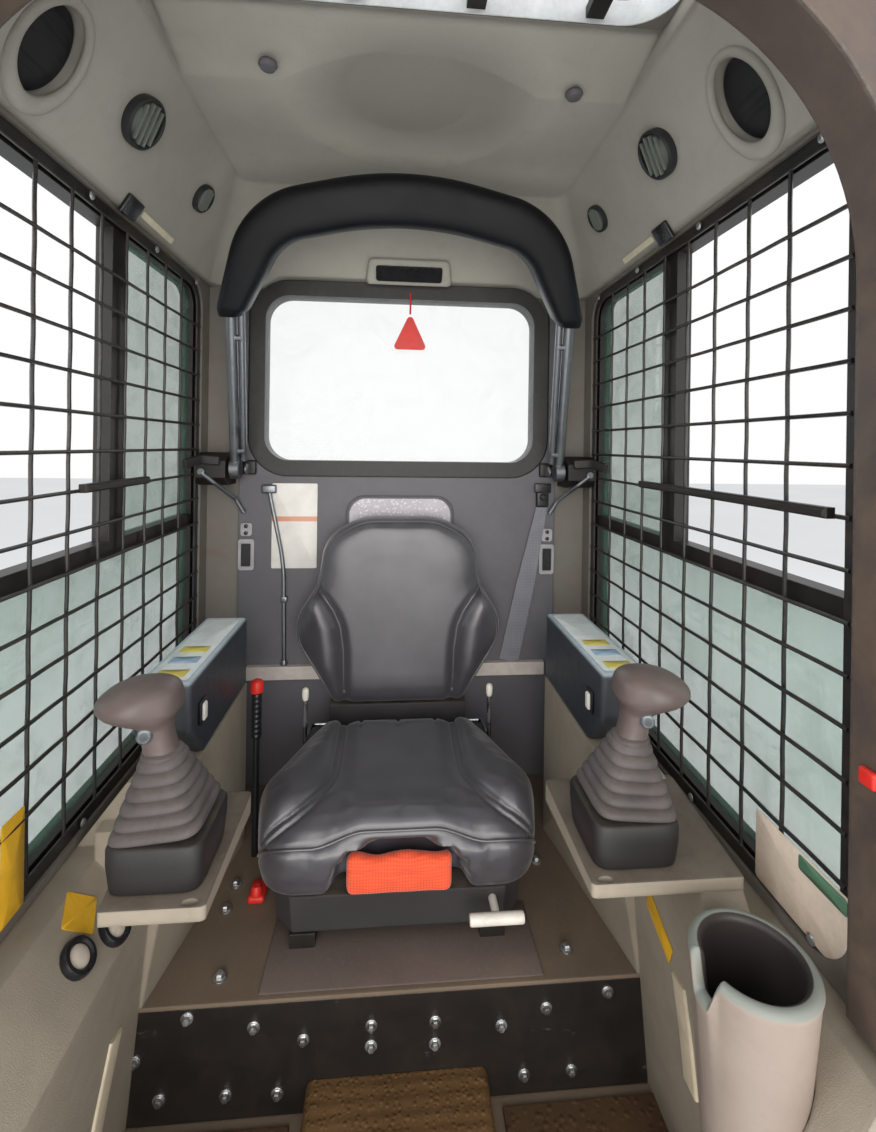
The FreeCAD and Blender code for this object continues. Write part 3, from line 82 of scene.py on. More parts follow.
def linear(rgb):
    """Scene values of a screen colour of 0 to 255."""
    value = np.array(rgb, float) / 255
    return tuple(np.where(value < 0.04045, value / 12.92, ((value + 0.055) / 1.055) ** 2.4))


class CabSizes(bpy.types.PropertyGroup):
    """Lengths of the detailed pieces."""
    wire: length("Wire radius", "Radius of a screen wire", 0.0026)
    pitch_y: length("Upright wire pitch", "Distance between upright wires", 0.075)
    pitch_z: length("Level wire pitch", "Distance between level wires", 0.054)
    tube: length("Bar tube radius", "Radius of the restraint bar's tube", 0.011)
    twin: length("Second tube radius", "Radius of the second tube on each leg", 0.007)
    bolt: length("Bolt radius", "Radius of a bolt head's washer", 0.0088)
    piping: length("Piping radius", "Radius of the seat's sewn piping", 0.0028)
    pleats: IntProperty(name="Pleats", description="Number of pleats in a lever's boot", default=6, min=2, max=12)


class CabColours(bpy.types.PropertyGroup):
    """Colours of the finishes, as they look on a screen."""
    liner: tint("Headliner", "Moulded headliner", (164, 160, 150))
    trim: tint("Side trim", "Moulded side trims and consoles", (146, 136, 121))
    shell: tint("Shell", "Painted steel of the shell", (112, 108, 102))
    hoop: tint("Door frame", "Painted steel of the door frame", (74, 63, 58))
    floor: tint("Floor", "Worn paint of the floor and deck", (112, 98, 84))
    dark: tint("Dark trim", "Dark moulded trim at the rear", (92, 90, 94))
    slate: tint("Armrest", "Satin armrest boxes", (52, 55, 60))
    grip: tint("Grip", "Palm grips of the levers", (92, 80, 77))
    boot: tint("Boot", "Rubber boots of the levers", (82, 76, 75))
    tower: tint("Tower", "Housings under the boots", (34, 32, 32))
    vinyl: tint("Seat", "Seat vinyl", (60, 58, 63))
    foam: tint("Foam", "Foam of the restraint pad", (13, 14, 17))
    cup: tint("Cup holder", "Side of the cup holder", (146, 132, 122))
    mat: tint("Mat", "Dusty rubber mats and step", (98, 72, 44))


# Shader maths

class Socket:
    """A shader value; arithmetic on it adds Math nodes."""

    def __init__(self, finish, out):
        self.finish, self.out = finish, out

    def maths(self, kind, *others, clamp=False):
        """A Math node of this value and others."""
        return self.finish.node("Math", {"operation": kind, "use_clamp": clamp}, enumerate((self, *others)))

    def __add__(self, other):
        return self.maths("ADD", other)

    def __sub__(self, other):
        return self.maths("SUBTRACT", other)

    def __rsub__(self, other):
        return self.finish.node("Math", {"operation": "SUBTRACT"}, enumerate((other, self)))

    def __mul__(self, other):
        return self.maths("MULTIPLY", other)

    __radd__, __rmul__ = __add__, __mul__

    def between(self, low, high):
        """This value stretched so that low is 0 and high is 1, and kept there."""
        return self.finish.node("MapRange", {"clamp": True}, {0: self, 1: low, 2: high})


class Finish:
    """One procedural material: its nodes, and calls that add to them."""

    def __init__(self, name, **constants):
        self.material = bpy.data.materials.new(name)
        self.material.use_nodes = True
        self.nodes, self.links = self.material.node_tree.nodes, self.material.node_tree.links
        self.shader = self.nodes["Principled BSDF"]
        for key, value in constants.items():
            self.shader.inputs[key.replace("_", " ")].default_value = value

    def node(self, kind, settings=(), inputs=(), out=0):
        """A node of a type, with its settings, the values or links of its sockets, and one output."""
        made = self.nodes.new("ShaderNode" + kind)
        for key, value in dict(settings).items():
            if key == "stops":
                ramp = made.color_ramp
                while len(ramp.elements) < len(value):
                    ramp.elements.new(0.5)
                for element, (place, shade) in zip(ramp.elements, value):
                    element.position, element.color = place, (*shade, 1.0)
            else:
                setattr(made, key, value)
        for key, value in dict(inputs).items():
            if isinstance(value, Socket):
                self.links.new(value.out, made.inputs[key])
            else:
                made.inputs[key].default_value = value
        return Socket(self, made.outputs[out])

    def feed(self, key, value):
        """Links a value to the principled shader."""
        self.links.new(value.out, self.shader.inputs[key])

    def place(self, stretch=(1, 1, 1)):
        """Object coordinates, stretched along the axes."""
        coordinates = self.node("TexCoord", out="Object")
        return self.node("Mapping", (), {"Vector": coordinates, "Scale": stretch})

    def noise(self, scale, detail=3.0, rough=0.5, where=None, warp=0.0):
        """Soft noise of so many blotches to a metre."""
        return self.node("TexNoise", (), {"Vector": where or self.place(), "Scale": scale, "Detail": detail,
                                          "Roughness": rough, "Distortion": warp})

    def cells(self, scale, feature="F1", out="Distance", where=None):
        """Distances in a pattern of cells, so many to a metre."""
        return self.node("TexVoronoi", {"feature": feature}, {"Vector": where or self.place(), "Scale": scale},
                         out=out)

    def mix(self, first, second, share):
        """A colour between two by a share."""
        colours = [value if isinstance(value, Socket) else (*value, 1.0) for value in (first, second)]
        return self.node("Mix", {"data_type": "RGBA"}, {0: share, 6: colours[0], 7: colours[1]}, out=2)

    def facing_up(self):
        """One where the surface faces up and zero where it is upright or hangs."""
        return self.level(0.35, 0.95)

    def level(self, low, high):
        """Zero to one as the Z of the surface's normal goes from low to high."""
        normal = self.node("NewGeometry", out="Normal")
        return self.node("SeparateXYZ", (), {0: normal}, out="Z").between(low, high)

    def rounded(self, radius):
        """The normal as if every edge were rounded to a radius."""
        return self.node("Bevel", {"samples": 2}, {"Radius": radius})

    def edges(self, normal):
        """One along the edges that such a rounded normal leaves, zero on flats."""
        flat = self.node("NewGeometry", out="Normal")
        return (1 - self.node("VectorMath", {"operation": "DOT_PRODUCT"}, {0: normal, 1: flat}, out="Value")
                ).between(0.02, 0.2)

    def bump(self, height, depth, strength=1.0, normal=None):
        """Feeds a height of 0 to 1, so many metres deep, to the normal."""
        inputs = {"Height": height, "Distance": depth, "Strength": strength}
        if normal:
            inputs["Normal"] = normal
        self.feed("Normal", self.node("Bump", (), inputs))


def shade(colour, factor):
    """A colour made darker or lighter by a factor."""
    return tuple(min(1.0, channel * factor) for channel in colour)


def moulded(name, colour, rough=0.55, grain=900, depth=0.00025, dust=0.35, radius=0.004, tone=0.14):
    """Grained plastic: slow clouds of tone, dust on what faces up, paler rubbed edges and a fine pebble."""
    finish = Finish(name, Specular_IOR_Level=0.4)
    clouds = finish.noise(5, 4, 0.6).between(0.3, 0.7)
    smears = finish.noise(26, 5, 0.7, warp=0.6).between(0.45, 0.75)
    normal = finish.rounded(radius)
    base = finish.mix(shade(colour, 1 - tone), shade(colour, 1 + tone), clouds)
    base = finish.mix(base, shade(colour, 0.78), smears * 0.45)
    rubbed = finish.edges(normal) * 0.35
    base = finish.mix(base, shade(colour, 1.5), rubbed)
    dusty = finish.facing_up() * finish.noise(14, 5, 0.65).between(0.35, 0.8) * dust
    finish.feed("Base Color", finish.mix(base, linear((168, 150, 124)), dusty))
    finish.feed("Roughness", (clouds * 0.12 + (rough - 0.06) + dusty * 0.3))
    pebble = finish.cells(grain, "F1") + finish.noise(grain * 0.5, 2) * 0.6
    finish.bump(pebble, depth, 0.55, normal)
    return finish.material


def painted(name, colour, rough=0.45, wear=0.4, dirt=0.4, radius=0.003):
    """Painted steel: faint orange peel, chipped paler edges, scratches and brown dust in patches."""
    finish = Finish(name, Specular_IOR_Level=0.5)
    clouds = finish.noise(4, 5, 0.6).between(0.3, 0.7)
    normal = finish.rounded(radius)
    chips = (finish.edges(normal) * finish.noise(120, 4, 0.7).between(0.4, 0.62)) * wear
    scratch = finish.noise(9, 6, 0.75, finish.place((1, 14, 3)), 0.4).between(0.66, 0.74) * wear
    grime = finish.noise(11, 6, 0.7, warp=0.5).between(0.42, 0.72) * dirt
    base = finish.mix(shade(colour, 0.82), shade(colour, 1.14), clouds)
    base = finish.mix(base, linear((112, 92, 70)), grime)
    base = finish.mix(base, linear((150, 146, 140)), chips + scratch * 0.5)
    finish.feed("Base Color", base)
    finish.feed("Roughness", clouds * 0.1 + (rough - 0.05) + grime * 0.35)
    finish.bump(finish.noise(260, 3) * 0.5 + finish.noise(1500, 2) * 0.2, 0.0003, 0.4, normal)
    return finish.material


def walked(name, colour, dust=(142, 116, 84), tread=0.0):
    """A floor walked on with dirty boots: scuffed paint or rubber under drifts of dry soil."""
    finish = Finish(name, Specular_IOR_Level=0.3)
    wide = finish.noise(5, 5, 0.6, warp=0.5).between(0.3, 0.7)
    crumbs = finish.noise(190, 4, 0.7).between(0.56, 0.74)
    normal = finish.rounded(0.004)
    base = finish.mix(shade(colour, 0.84), shade(colour, 1.12), wide)
    base = finish.mix(base, linear(dust), (crumbs * 0.5 + wide * 0.12) * 0.7)
    scuff = finish.noise(13, 6, 0.7, finish.place((6, 1, 1)), 0.6).between(0.62, 0.76)
    base = finish.mix(base, shade(colour, 0.55), scuff * 0.4)
    finish.feed("Base Color", base)
    finish.feed("Roughness", wide * 0.2 + 0.5)
    height = crumbs * 0.5 + finish.noise(60, 4, 0.7) * 0.5
    if tread:
        studs = finish.cells(tread, "F1").between(0.1, 0.45)
        height = height - studs * 1.6
    finish.bump(height, 0.0011, 0.6, normal)
    return finish.material


def hide_like(name, colour, rough=0.40, crease=70.0, coat=0.55):
    """Upholstery vinyl: a pebble of small cells, soft creases, polished wear and a satin sheen."""
    finish = Finish(name, Specular_IOR_Level=0.6, Coat_Roughness=0.30, Sheen_Weight=0.2, Sheen_Roughness=0.4)
    clouds = finish.noise(6, 4, 0.55).between(0.3, 0.7)
    worn = finish.noise(15, 5, 0.6, warp=0.4).between(0.45, 0.75)
    base = finish.mix(shade(colour, 0.8), shade(colour, 1.2), clouds)
    finish.feed("Base Color", finish.mix(base, shade(colour, 1.7), worn * 0.3))
    finish.feed("Roughness", worn * 0.10 + clouds * 0.08 + (rough - 0.06))
    finish.feed("Coat Weight", clouds * coat + coat * 0.5)
    pores = finish.cells(420, "DISTANCE_TO_EDGE").between(0.0, 0.2)
    creases = finish.noise(crease, 4, 0.65, warp=1.2)
    finish.bump(pores * 0.35 + creases * 0.7, 0.0004, 0.45)
    return finish.material


def foam_skin(name, colour):
    """Self-skinned foam: matte, slightly pitted, greyer where hands rub it."""
    finish = Finish(name, Specular_IOR_Level=0.22)
    rubbed = finish.noise(9, 5, 0.65, warp=0.3).between(0.4, 0.75)
    finish.feed("Base Color", finish.mix(colour, shade(colour, 1.9), rubbed * 0.5))
    finish.feed("Roughness", rubbed * 0.12 + 0.46)
    pits = finish.cells(700, "F1") + finish.noise(70, 5, 0.6) * 1.2
    finish.bump(pits, 0.0004, 0.5)
    return finish.material


def rubber(name, colour, rough=0.6, dust=0.3):
    """Moulded rubber: bloom and dust in streaks over a dull skin."""
    finish = Finish(name, Specular_IOR_Level=0.35)
    bloom = finish.noise(12, 6, 0.7, warp=0.8).between(0.4, 0.75)
    settled = finish.facing_up() * finish.noise(40, 5, 0.7).between(0.35, 0.8)
    base = finish.mix(shade(colour, 0.8), shade(colour, 1.35), bloom)
    finish.feed("Base Color", finish.mix(base, linear((150, 132, 108)), settled * dust))
    finish.feed("Roughness", bloom * 0.15 + (rough - 0.05))
    finish.bump(finish.noise(400, 4, 0.6) + finish.noise(40, 3) * 0.8, 0.0003, 0.5, finish.rounded(0.002))
    return finish.material


def bare_metal(name, colour, rough=0.34, brushed=0.0006):
    """Brushed or plated steel: fine lines along Z, stains and a few dark specks."""
    finish = Finish(name)
    stains = finish.noise(24, 6, 0.7, warp=0.5).between(0.45, 0.75)
    lines = finish.noise(420, 3, 0.6, finish.place((1, 1, 0.04)))
    base = finish.mix(colour, shade(colour, 0.55), stains * 0.6)
    finish.feed("Base Color", base)
    finish.feed("Metallic", 1 - stains * 0.35)
    finish.feed("Roughness", lines * 0.12 + stains * 0.25 + rough - 0.06)
    finish.bump(lines, brushed, 0.25, finish.rounded(0.0015))
    return finish.material


def woven(name, colour, pitch=520, other=None):
    """Webbing or cloth: crossed threads, each row a wave, with faded patches."""
    finish = Finish(name, Specular_IOR_Level=0.3, Sheen_Weight=0.3, Sheen_Roughness=0.5)
    weft = finish.node("TexWave", {"bands_direction": "Z"}, {"Vector": finish.place(), "Scale": pitch / 6})
    warp = finish.node("TexWave", {"bands_direction": "X"}, {"Vector": finish.place(), "Scale": pitch / 6})
    faded = finish.noise(18, 5, 0.6).between(0.4, 0.75)
    threads = weft * 0.5 + warp * 0.5
    base = finish.mix(shade(colour, 0.7), other or shade(colour, 1.25), threads)
    finish.feed("Base Color", finish.mix(base, shade(colour, 1.5), faded * 0.3))
    finish.feed("Roughness", faded * 0.1 + 0.7)
    finish.bump(threads, 0.0005, 0.6)
    return finish.material


def pane(name, colour, clear):
    """Sheet glass: see-through with a tint, smeared with dried drops and dust."""
    finish = Finish(name, Roughness=0.04, IOR=1.45, Specular_IOR_Level=0.5)
    dirt = finish.noise(9, 4, 0.75, warp=0.8).between(0.45, 0.8)
    drops = finish.cells(90, "F1").between(0.0, 0.18)
    finish.feed("Base Color", finish.mix(colour, linear((176, 176, 164)), dirt * 0.25))
    finish.feed("Alpha", dirt * (0.02 + (1 - clear) * 0.3) + (1 - drops) * 0.02 + (1 - clear))
    finish.material.surface_render_method = "DITHERED"
    return finish.material


def enamel(name, colour, rough=0.4, mottle=0.12):
    """Glossy paint, print stock or moulded plastic: slight mottling, finger marks and soft edges."""
    finish = Finish(name, Specular_IOR_Level=0.45)
    mottled = finish.noise(30, 5, 0.65, warp=0.3).between(0.35, 0.75)
    marks = finish.noise(75, 5, 0.7).between(0.55, 0.75)
    base = finish.mix(shade(colour, 1 - mottle), shade(colour, 1 + mottle), mottled)
    finish.feed("Base Color", finish.mix(base, shade(colour, 0.6), marks * 0.3))
    finish.feed("Roughness", marks * 0.2 + (rough - 0.04) + mottled * 0.08)
    finish.bump(finish.noise(240, 3), 0.0002, 0.35, finish.rounded(0.0012))
    return finish.material


def dotted(name, colour, dot):
    """Dark trim with rows of small pale dots, as on a pressed sound panel."""
    finish = Finish(name, Specular_IOR_Level=0.35)
    spots = 1 - finish.cells(150, "F1", where=finish.place((1, 0.001, 1))).between(0.2, 0.4)
    clouds = finish.noise(9, 4).between(0.3, 0.7)
    base = finish.mix(shade(colour, 0.8), shade(colour, 1.2), clouds)
    finish.feed("Base Color", finish.mix(base, dot, spots * 0.8))
    finish.feed("Roughness", clouds * 0.1 + 0.5)
    finish.bump(spots + finish.noise(500, 3) * 0.3, 0.0004, 0.4)
    return finish.material


def top_highlighted(name, colour, top, rough=0.4):
    """Grained plastic whose upper faces are paler: partly wear, partly a painted highlight of the light that falls on a
    console's tops.
    """
    finish = Finish(name, Specular_IOR_Level=0.45)
    clouds = finish.noise(7, 4, 0.6).between(0.3, 0.7)
    scuff = finish.noise(40, 5, 0.7, warp=0.4).between(0.5, 0.75)
    normal = finish.rounded(0.006)
    base = finish.mix(shade(colour, 0.85), shade(colour, 1.15), clouds)
    # upper faces take the top colour: wear and a painted highlight where light falls
    base = finish.mix(base, top, finish.facing_up() * (0.75 + clouds * 0.2))
    base = finish.mix(base, shade(top, 0.9), finish.edges(normal) * 0.5)
    finish.feed("Base Color", finish.mix(base, shade(colour, 0.7), scuff * 0.25))
    finish.feed("Roughness", clouds * 0.1 + (rough - 0.05) + scuff * 0.1)
    finish.bump(finish.cells(1000, "F1") + finish.noise(500, 2) * 0.5, 0.0002, 0.5, normal)
    return finish.material


def dusted_trim(name, colour, dirt, height):
    """The side trims' grained plastic, with brown dirt on the level faces of the shelves at a height."""
    finish = Finish(name, Specular_IOR_Level=0.4)
    clouds = finish.noise(5, 4, 0.6).between(0.3, 0.7)
    smears = finish.noise(26, 5, 0.7, warp=0.6).between(0.45, 0.75)
    normal = finish.rounded(0.006)
    base = finish.mix(shade(colour, 0.86), shade(colour, 1.14), clouds)
    base = finish.mix(base, shade(colour, 0.78), smears * 0.45)
    base = finish.mix(base, shade(colour, 1.5), finish.edges(normal) * 0.35)
    rise = finish.node("SeparateXYZ", (), {0: finish.place()}, out="Z")
    band = rise.between(height - 0.008, height - 0.003) * (1 - rise.between(height + 0.003, height + 0.008))
    base = finish.mix(base, dirt, finish.level(0.80, 0.97) * band * (0.7 + smears * 0.25))
    finish.feed("Base Color", base)
    finish.feed("Roughness", clouds * 0.12 + smears * 0.08 + 0.48)
    finish.bump(finish.cells(800, "F1") + finish.noise(400, 2) * 0.6, 0.00035, 0.55, normal)
    return finish.material


def liner_with_painted_light(name, colour, middle, reach):
    """The headliner's moulding, with painted shade where its roof is domed round a middle of X and Y, and a painted
    highlight towards the front of its roof.
    """
    finish = Finish(name, Specular_IOR_Level=0.35)
    clouds = finish.noise(4, 4, 0.6).between(0.3, 0.7)
    smears = finish.noise(22, 5, 0.7, warp=0.6).between(0.5, 0.78)
    where = finish.place()
    flat = finish.node("VectorMath", {"operation": "MULTIPLY"}, {0: where, 1: (1, 1.25, 0)}, out="Vector")
    apart = finish.node("VectorMath", {"operation": "DISTANCE"}, {0: flat, 1: (middle[0], middle[1] * 1.25, 0)},
                        out="Value")
    high = finish.node("SeparateXYZ", (), {0: where}, out="Z").between(1.490, 1.502)
    # painted shade in the dome's recess, only on the roof's level part
    dome_shade = (1 - apart.between(reach * 0.62, reach)) * high
    # painted highlight on the front part of the roof
    front = (1 - finish.node("SeparateXYZ", (), {0: where}, out="Y").between(-0.20, -0.12)) * high
    base = finish.mix(shade(colour, 0.90), shade(colour, 1.08), clouds)
    base = finish.mix(base, shade(colour, 0.80), smears * 0.4)
    base = finish.mix(base, shade(colour, 0.62), dome_shade * 0.8)
    base = finish.mix(base, shade(colour, 1.25), front * 0.5)
    finish.feed("Base Color", base)
    finish.feed("Roughness", clouds * 0.1 + 0.55)
    normal = finish.rounded(0.012)
    pebble = finish.cells(650, "F1") + finish.noise(300, 2) * 0.6
    finish.bump(pebble, 0.0004, 0.5, normal)
    return finish.material


def banded_cup(name, colour, rim, inside, middle, foot, top):
    """The cup's moulding: pale outside, grey-green at its rim and dark inside, by the distance to its axis."""
    finish = Finish(name, Specular_IOR_Level=0.45)
    where = finish.place()
    flat = finish.node("VectorMath", {"operation": "MULTIPLY"}, {0: where, 1: (1, 1, 0)}, out="Vector")
    apart = finish.node("VectorMath", {"operation": "DISTANCE"}, {0: flat, 1: (*middle, 0)}, out="Value")
    rise = finish.node("SeparateXYZ", (), {0: where}, out="Z").between(foot, top)
    within = 1 - (apart - (rise * 0.0105 + 0.0385)).between(0.0, 0.0015)
    edge = finish.node("NewGeometry", out="Normal")
    upward = finish.node("SeparateXYZ", (), {0: edge}, out="Z").between(0.05, 0.4)
    clouds = finish.noise(9, 4).between(0.3, 0.7)
    dust = finish.noise(45, 5, 0.7, warp=0.3).between(0.5, 0.8)
    base = finish.mix(shade(colour, 0.9), shade(colour, 1.06), clouds)
    base = finish.mix(base, shade(colour, 0.6), dust * 0.25)
    base = finish.mix(base, inside, within)
    finish.feed("Base Color", finish.mix(base, rim, upward * (1 - within)))
    finish.feed("Roughness", clouds * 0.12 + 0.42)
    finish.bump(finish.cells(1100, "F1") + finish.noise(60, 3) * 0.8, 0.0002, 0.5)
    return finish.material


# Forms: each is an array of points and a list of faces

def stitch(rows, columns, wrap_rows, wrap_columns):
    """Quads between the neighbours of a grid, as numbers of its points row by row."""
    row = np.arange(rows if wrap_rows else rows - 1)[:, None]
    column = np.arange(columns if wrap_columns else columns - 1)[None]
    near, far = row * columns, (row + 1) % rows * columns
    beside = (column + 1) % columns
    return np.stack([near + column, near + beside, far + beside, far + column], -1).reshape(-1, 4)


def sheet_form(points, wrap_rows=False, wrap_columns=False, caps=False):
    """A grid of points (rows, columns, 3) as a form; caps close the first and last row to their middles."""
    rows, columns = points.shape[:2]
    faces = stitch(rows, columns, wrap_rows, wrap_columns).tolist()
    verts = points.reshape(-1, 3)
    if caps:
        count = len(verts)
        verts = np.vstack([verts, points[0].mean(0), points[-1].mean(0)])
        here = np.arange(columns)
        there = (here + 1) % columns
        last = (rows - 1) * columns
        faces += np.stack([there, here, np.full(columns, count)], -1).tolist()
        faces += np.stack([last + here, last + there, np.full(columns, count + 1)], -1).tolist()
    return verts, faces


def joined(forms):
    """Several forms as one."""
    starts = np.cumsum([0] + [len(verts) for verts, _ in forms])
    faces = [[number + start for number in face] for (_, faces), start in zip(forms, starts) for face in faces]
    return np.vstack([verts for verts, _ in forms]), faces


def circle(sides, turn=0.0):
    """The cosines and sines of so many equal steps round a circle."""
    angle = np.linspace(0, 2 * np.pi, sides, endpoint=False) + turn
    return np.stack([np.cos(angle), np.sin(angle)], -1)


def unit(vectors):
    """Vectors of length one."""
    return vectors / np.linalg.norm(vectors, axis=-1, keepdims=True)


def swept(path, profile, up=(0, 0, 1), closed=False, scale=1.0, caps=True):
    """A profile carried along a path: at each point it lies across the tangent, its second axis towards up."""
    path = np.asarray(path, float)
    if closed:
        tangent = unit(np.roll(path, -1, 0) - np.roll(path, 1, 0))
    else:
        tangent = unit(np.gradient(path, axis=0))
    side = unit(np.cross(tangent, np.broadcast_to(np.asarray(up, float), tangent.shape)))
    lift = np.cross(side, tangent)
    size = np.broadcast_to(np.asarray(scale, float), len(path))[:, None, None]
    profile = np.asarray(profile, float)
    points = path[:, None] + size * (side[:, None] * profile[None, :, :1] + lift[:, None] * profile[None, :, 1:])
    return sheet_form(points, closed, True, caps and not closed)


def tube(path, radius, sides=12, up=(0, 0, 1), closed=False, scale=1.0):
    """A round tube along a path."""
    return swept(path, circle(sides) * radius, up, closed, scale)


def smooth_path(corners, radii, step=0.008):
    """Straight runs between corners with each corner rounded: an arc that touches both runs, as points."""
    corners = np.asarray(corners, float)
    pieces = [corners[:1]]
    for before, here, after, radius in zip(corners, corners[1:], corners[2:], radii):
        back, on = unit(before - here), unit(after - here)
        half = math.acos(max(-1.0, min(1.0, float(back @ on)))) / 2
        reach = radius / math.tan(half)
        middle = here + unit(back + on) * radius / math.sin(half)
        sweep = math.pi - 2 * half
        count = max(3, int(radius * sweep / step))
        share = np.linspace(0, 1, count)[:, None]
        first, last = here + back * reach - middle, here + on * reach - middle
        pieces.append(middle + (first * np.sin((1 - share) * sweep) + last * np.sin(share * sweep)) / math.sin(sweep))
    pieces.append(corners[-1:])
    return np.vstack(pieces)


def resampled(path, count, closed=False):
    """A path as so many points at equal distances along it."""
    path = np.vstack([path, path[:1]]) if closed else np.asarray(path, float)
    along = np.concatenate([[0], np.cumsum(np.linalg.norm(np.diff(path, axis=0), axis=1))])
    wanted = np.linspace(0, along[-1], count, endpoint=not closed)
    return np.stack([np.interp(wanted, along, path[:, axis]) for axis in range(3)], -1)


def basis(axis):
    """Two directions across an axis."""
    axis = unit(np.asarray(axis, float))
    hint = np.array([0, 0, 1.0]) if abs(axis[2]) < 0.9 else np.array([0, 1.0, 0])
    first = unit(np.cross(hint, axis))
    return first, np.cross(axis, first), axis


def turned(profile, foot, axis=(0, 0, 1), sides=32, squash=1.0):
    """A profile of radius and height turned round an axis; squash makes it oval across."""
    first, second, axis = basis(axis)
    profile = np.asarray(profile, float)
    ring = circle(sides) * (1, squash)
    across = ring[:, :1] * first + ring[:, 1:] * second
    points = np.asarray(foot, float) + profile[:, None, :1] * across[None] + profile[:, None, 1:] * axis
    return sheet_form(points, False, True, True)


def soft_box(low, high, radius, steps=5):
    """A box whose edges and corners are arcs: each octant of a ball is moved out to its corner."""
    low, high = np.minimum(low, high), np.maximum(low, high)
    middle, half = (low + high) / 2, (high - low) / 2
    radius = min(radius, *(half * 0.999))
    quarter = np.linspace(0, np.pi / 2, steps)
    turn = np.concatenate([quarter + quadrant * np.pi / 2 for quadrant in range(4)])
    sign_x = np.repeat([1, -1, -1, 1], steps)
    sign_y = np.repeat([1, 1, -1, -1], steps)
    tilt = np.concatenate([quarter - np.pi / 2, quarter])
    sign_z = np.repeat([-1, 1], steps)
    ball = np.stack([np.cos(tilt)[:, None] * np.cos(turn), np.cos(tilt)[:, None] * np.sin(turn),
                     np.broadcast_to(np.sin(tilt)[:, None], (2 * steps, 4 * steps))], -1)
    sign = np.stack([np.broadcast_to(sign_x, ball.shape[:2]), np.broadcast_to(sign_y, ball.shape[:2]),
                     np.broadcast_to(sign_z[:, None], ball.shape[:2])], -1)
    return sheet_form(middle + sign * (half - radius) + ball * radius, False, True, True)


def squarish(half_x, half_y, power, sides):
    """A ring between an oval and a rectangle: the superellipse of a power."""
    ring = circle(sides)
    return np.sign(ring) * np.abs(ring) ** (2 / power) * (half_x, half_y)


def lofted(rings, heights, foot, axis=(0, 0, 1), turn=None):
    """Rings of two coordinates at heights along an axis, joined and closed."""
    first, second, axis = basis(axis) if turn is None else turn
    points = (np.asarray(foot, float) + rings[..., :1] * first + rings[..., 1:] * second
              + np.asarray(heights, float)[:, None, None] * axis)
    return sheet_form(points, False, True, True)


def plate_form(outline, thick, bulge=0.0):
    """A flat outline of 3-D points given a thickness along its normal, its rim rounded by one step."""
    outline = np.asarray(outline, float)
    middle = outline.mean(0)
    normal = unit(np.cross(outline[1] - outline[0], outline[2] - outline[1]))
    inner = middle + (outline - middle) * (1 - bulge)
    rings = np.stack([inner, outline, outline, inner])
    lift = np.array([0, 0.25, 0.75, 1.0])[:, None, None] * thick * normal
    return sheet_form(rings + lift, False, True, True)


def round_corners(width, height, radius, steps=5):
    """The outline of a rectangle with arc corners, about its middle."""
    quarter = np.linspace(0, np.pi / 2, steps)
    turn = np.concatenate([quarter + quadrant * np.pi / 2 for quadrant in range(4)])
    sign = np.repeat([[1, 1], [-1, 1], [-1, -1], [1, -1]], steps, axis=0)
    return sign * (width / 2 - radius, height / 2 - radius) + radius * np.stack([np.cos(turn), np.sin(turn)], -1)


def tag_form(middle, across, up, width, height, radius, thick):
    """A thin plate with arc corners about a middle, facing across times up."""
    flat = round_corners(width, height, radius)
    across, up = unit(np.asarray(across, float)), unit(np.asarray(up, float))
    return plate_form(np.asarray(middle, float) + flat[:, :1] * across + flat[:, 1:] * up, thick, 0.01)


def bolt_form(radius, sides=6):
    """A bolt head on its washer, standing on zero along Z: a flat ring, a hexagon and a slightly domed top."""
    washer = turned([(radius, 0), (radius, radius * 0.2), (radius * 0.8, radius * 0.28)], (0, 0, 0), sides=18)
    head = turned([(radius * 0.66, 0), (radius * 0.66, radius * 0.7), (radius * 0.52, radius * 0.86),
                   (radius * 0.2, radius * 0.9)], (0, 0, 0), sides=sides)
    return joined([washer, head])


def spread(form, spots, axis, size=1.0):
    """Copies of a form that stands along Z, set at spots and turned to stand along an axis."""
    verts, faces = form
    turn = np.stack(basis(axis))
    spots = np.asarray(spots, float)
    every = (spots[:, None] + (verts * size) @ turn).reshape(-1, 3)
    step = np.arange(len(spots)) * len(verts)
    return every, [[number + start for number in face] for start in step.tolist() for face in faces]


# Objects

def made(name, form, finish, body="cab", bevel=0.0, rounds=0, flat=False):
    """A mesh object from a form, with outward faces, a finish and the body that it rides on."""
    mesh = bpy.data.meshes.new(name)
    mesh.from_pydata(form[0], [], form[1])
    loose = bmesh.new()
    loose.from_mesh(mesh)
    bmesh.ops.remove_doubles(loose, verts=loose.verts, dist=1e-6)
    bmesh.ops.dissolve_degenerate(loose, edges=loose.edges, dist=1e-6)
    bmesh.ops.recalc_face_normals(loose, faces=loose.faces)
    loose.to_mesh(mesh)
    loose.free()
    piece = bpy.data.objects.new(name, mesh)
    bpy.context.scene.collection.objects.link(piece)
    mesh.materials.append(finish)
    if not flat:
        mesh.shade_smooth()
        mesh.set_sharp_from_angle(angle=math.radians(38))
    if bevel:
        edge = piece.modifiers.new("edge", "BEVEL")
        edge.width, edge.segments, edge.limit_method = bevel, 2, "ANGLE"
    if rounds:
        smooth = piece.modifiers.new("smooth", "SUBSURF")
        smooth.levels = smooth.render_levels = rounds
    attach(piece, body)
    return piece


def standing_for(piece, *nodes):
    """Hides CAD nodes that a piece stands for."""
    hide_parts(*nodes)
    return piece


def finished(piece):
    """Returns a piece that replaces nothing, as it is."""
    return piece


FINISHES = {}


def finish_of(slot):
    """The finish of a material slot, made once."""
    if slot not in FINISHES:
        FINISHES[slot] = make_finish(slot)
    return FINISHES[slot]


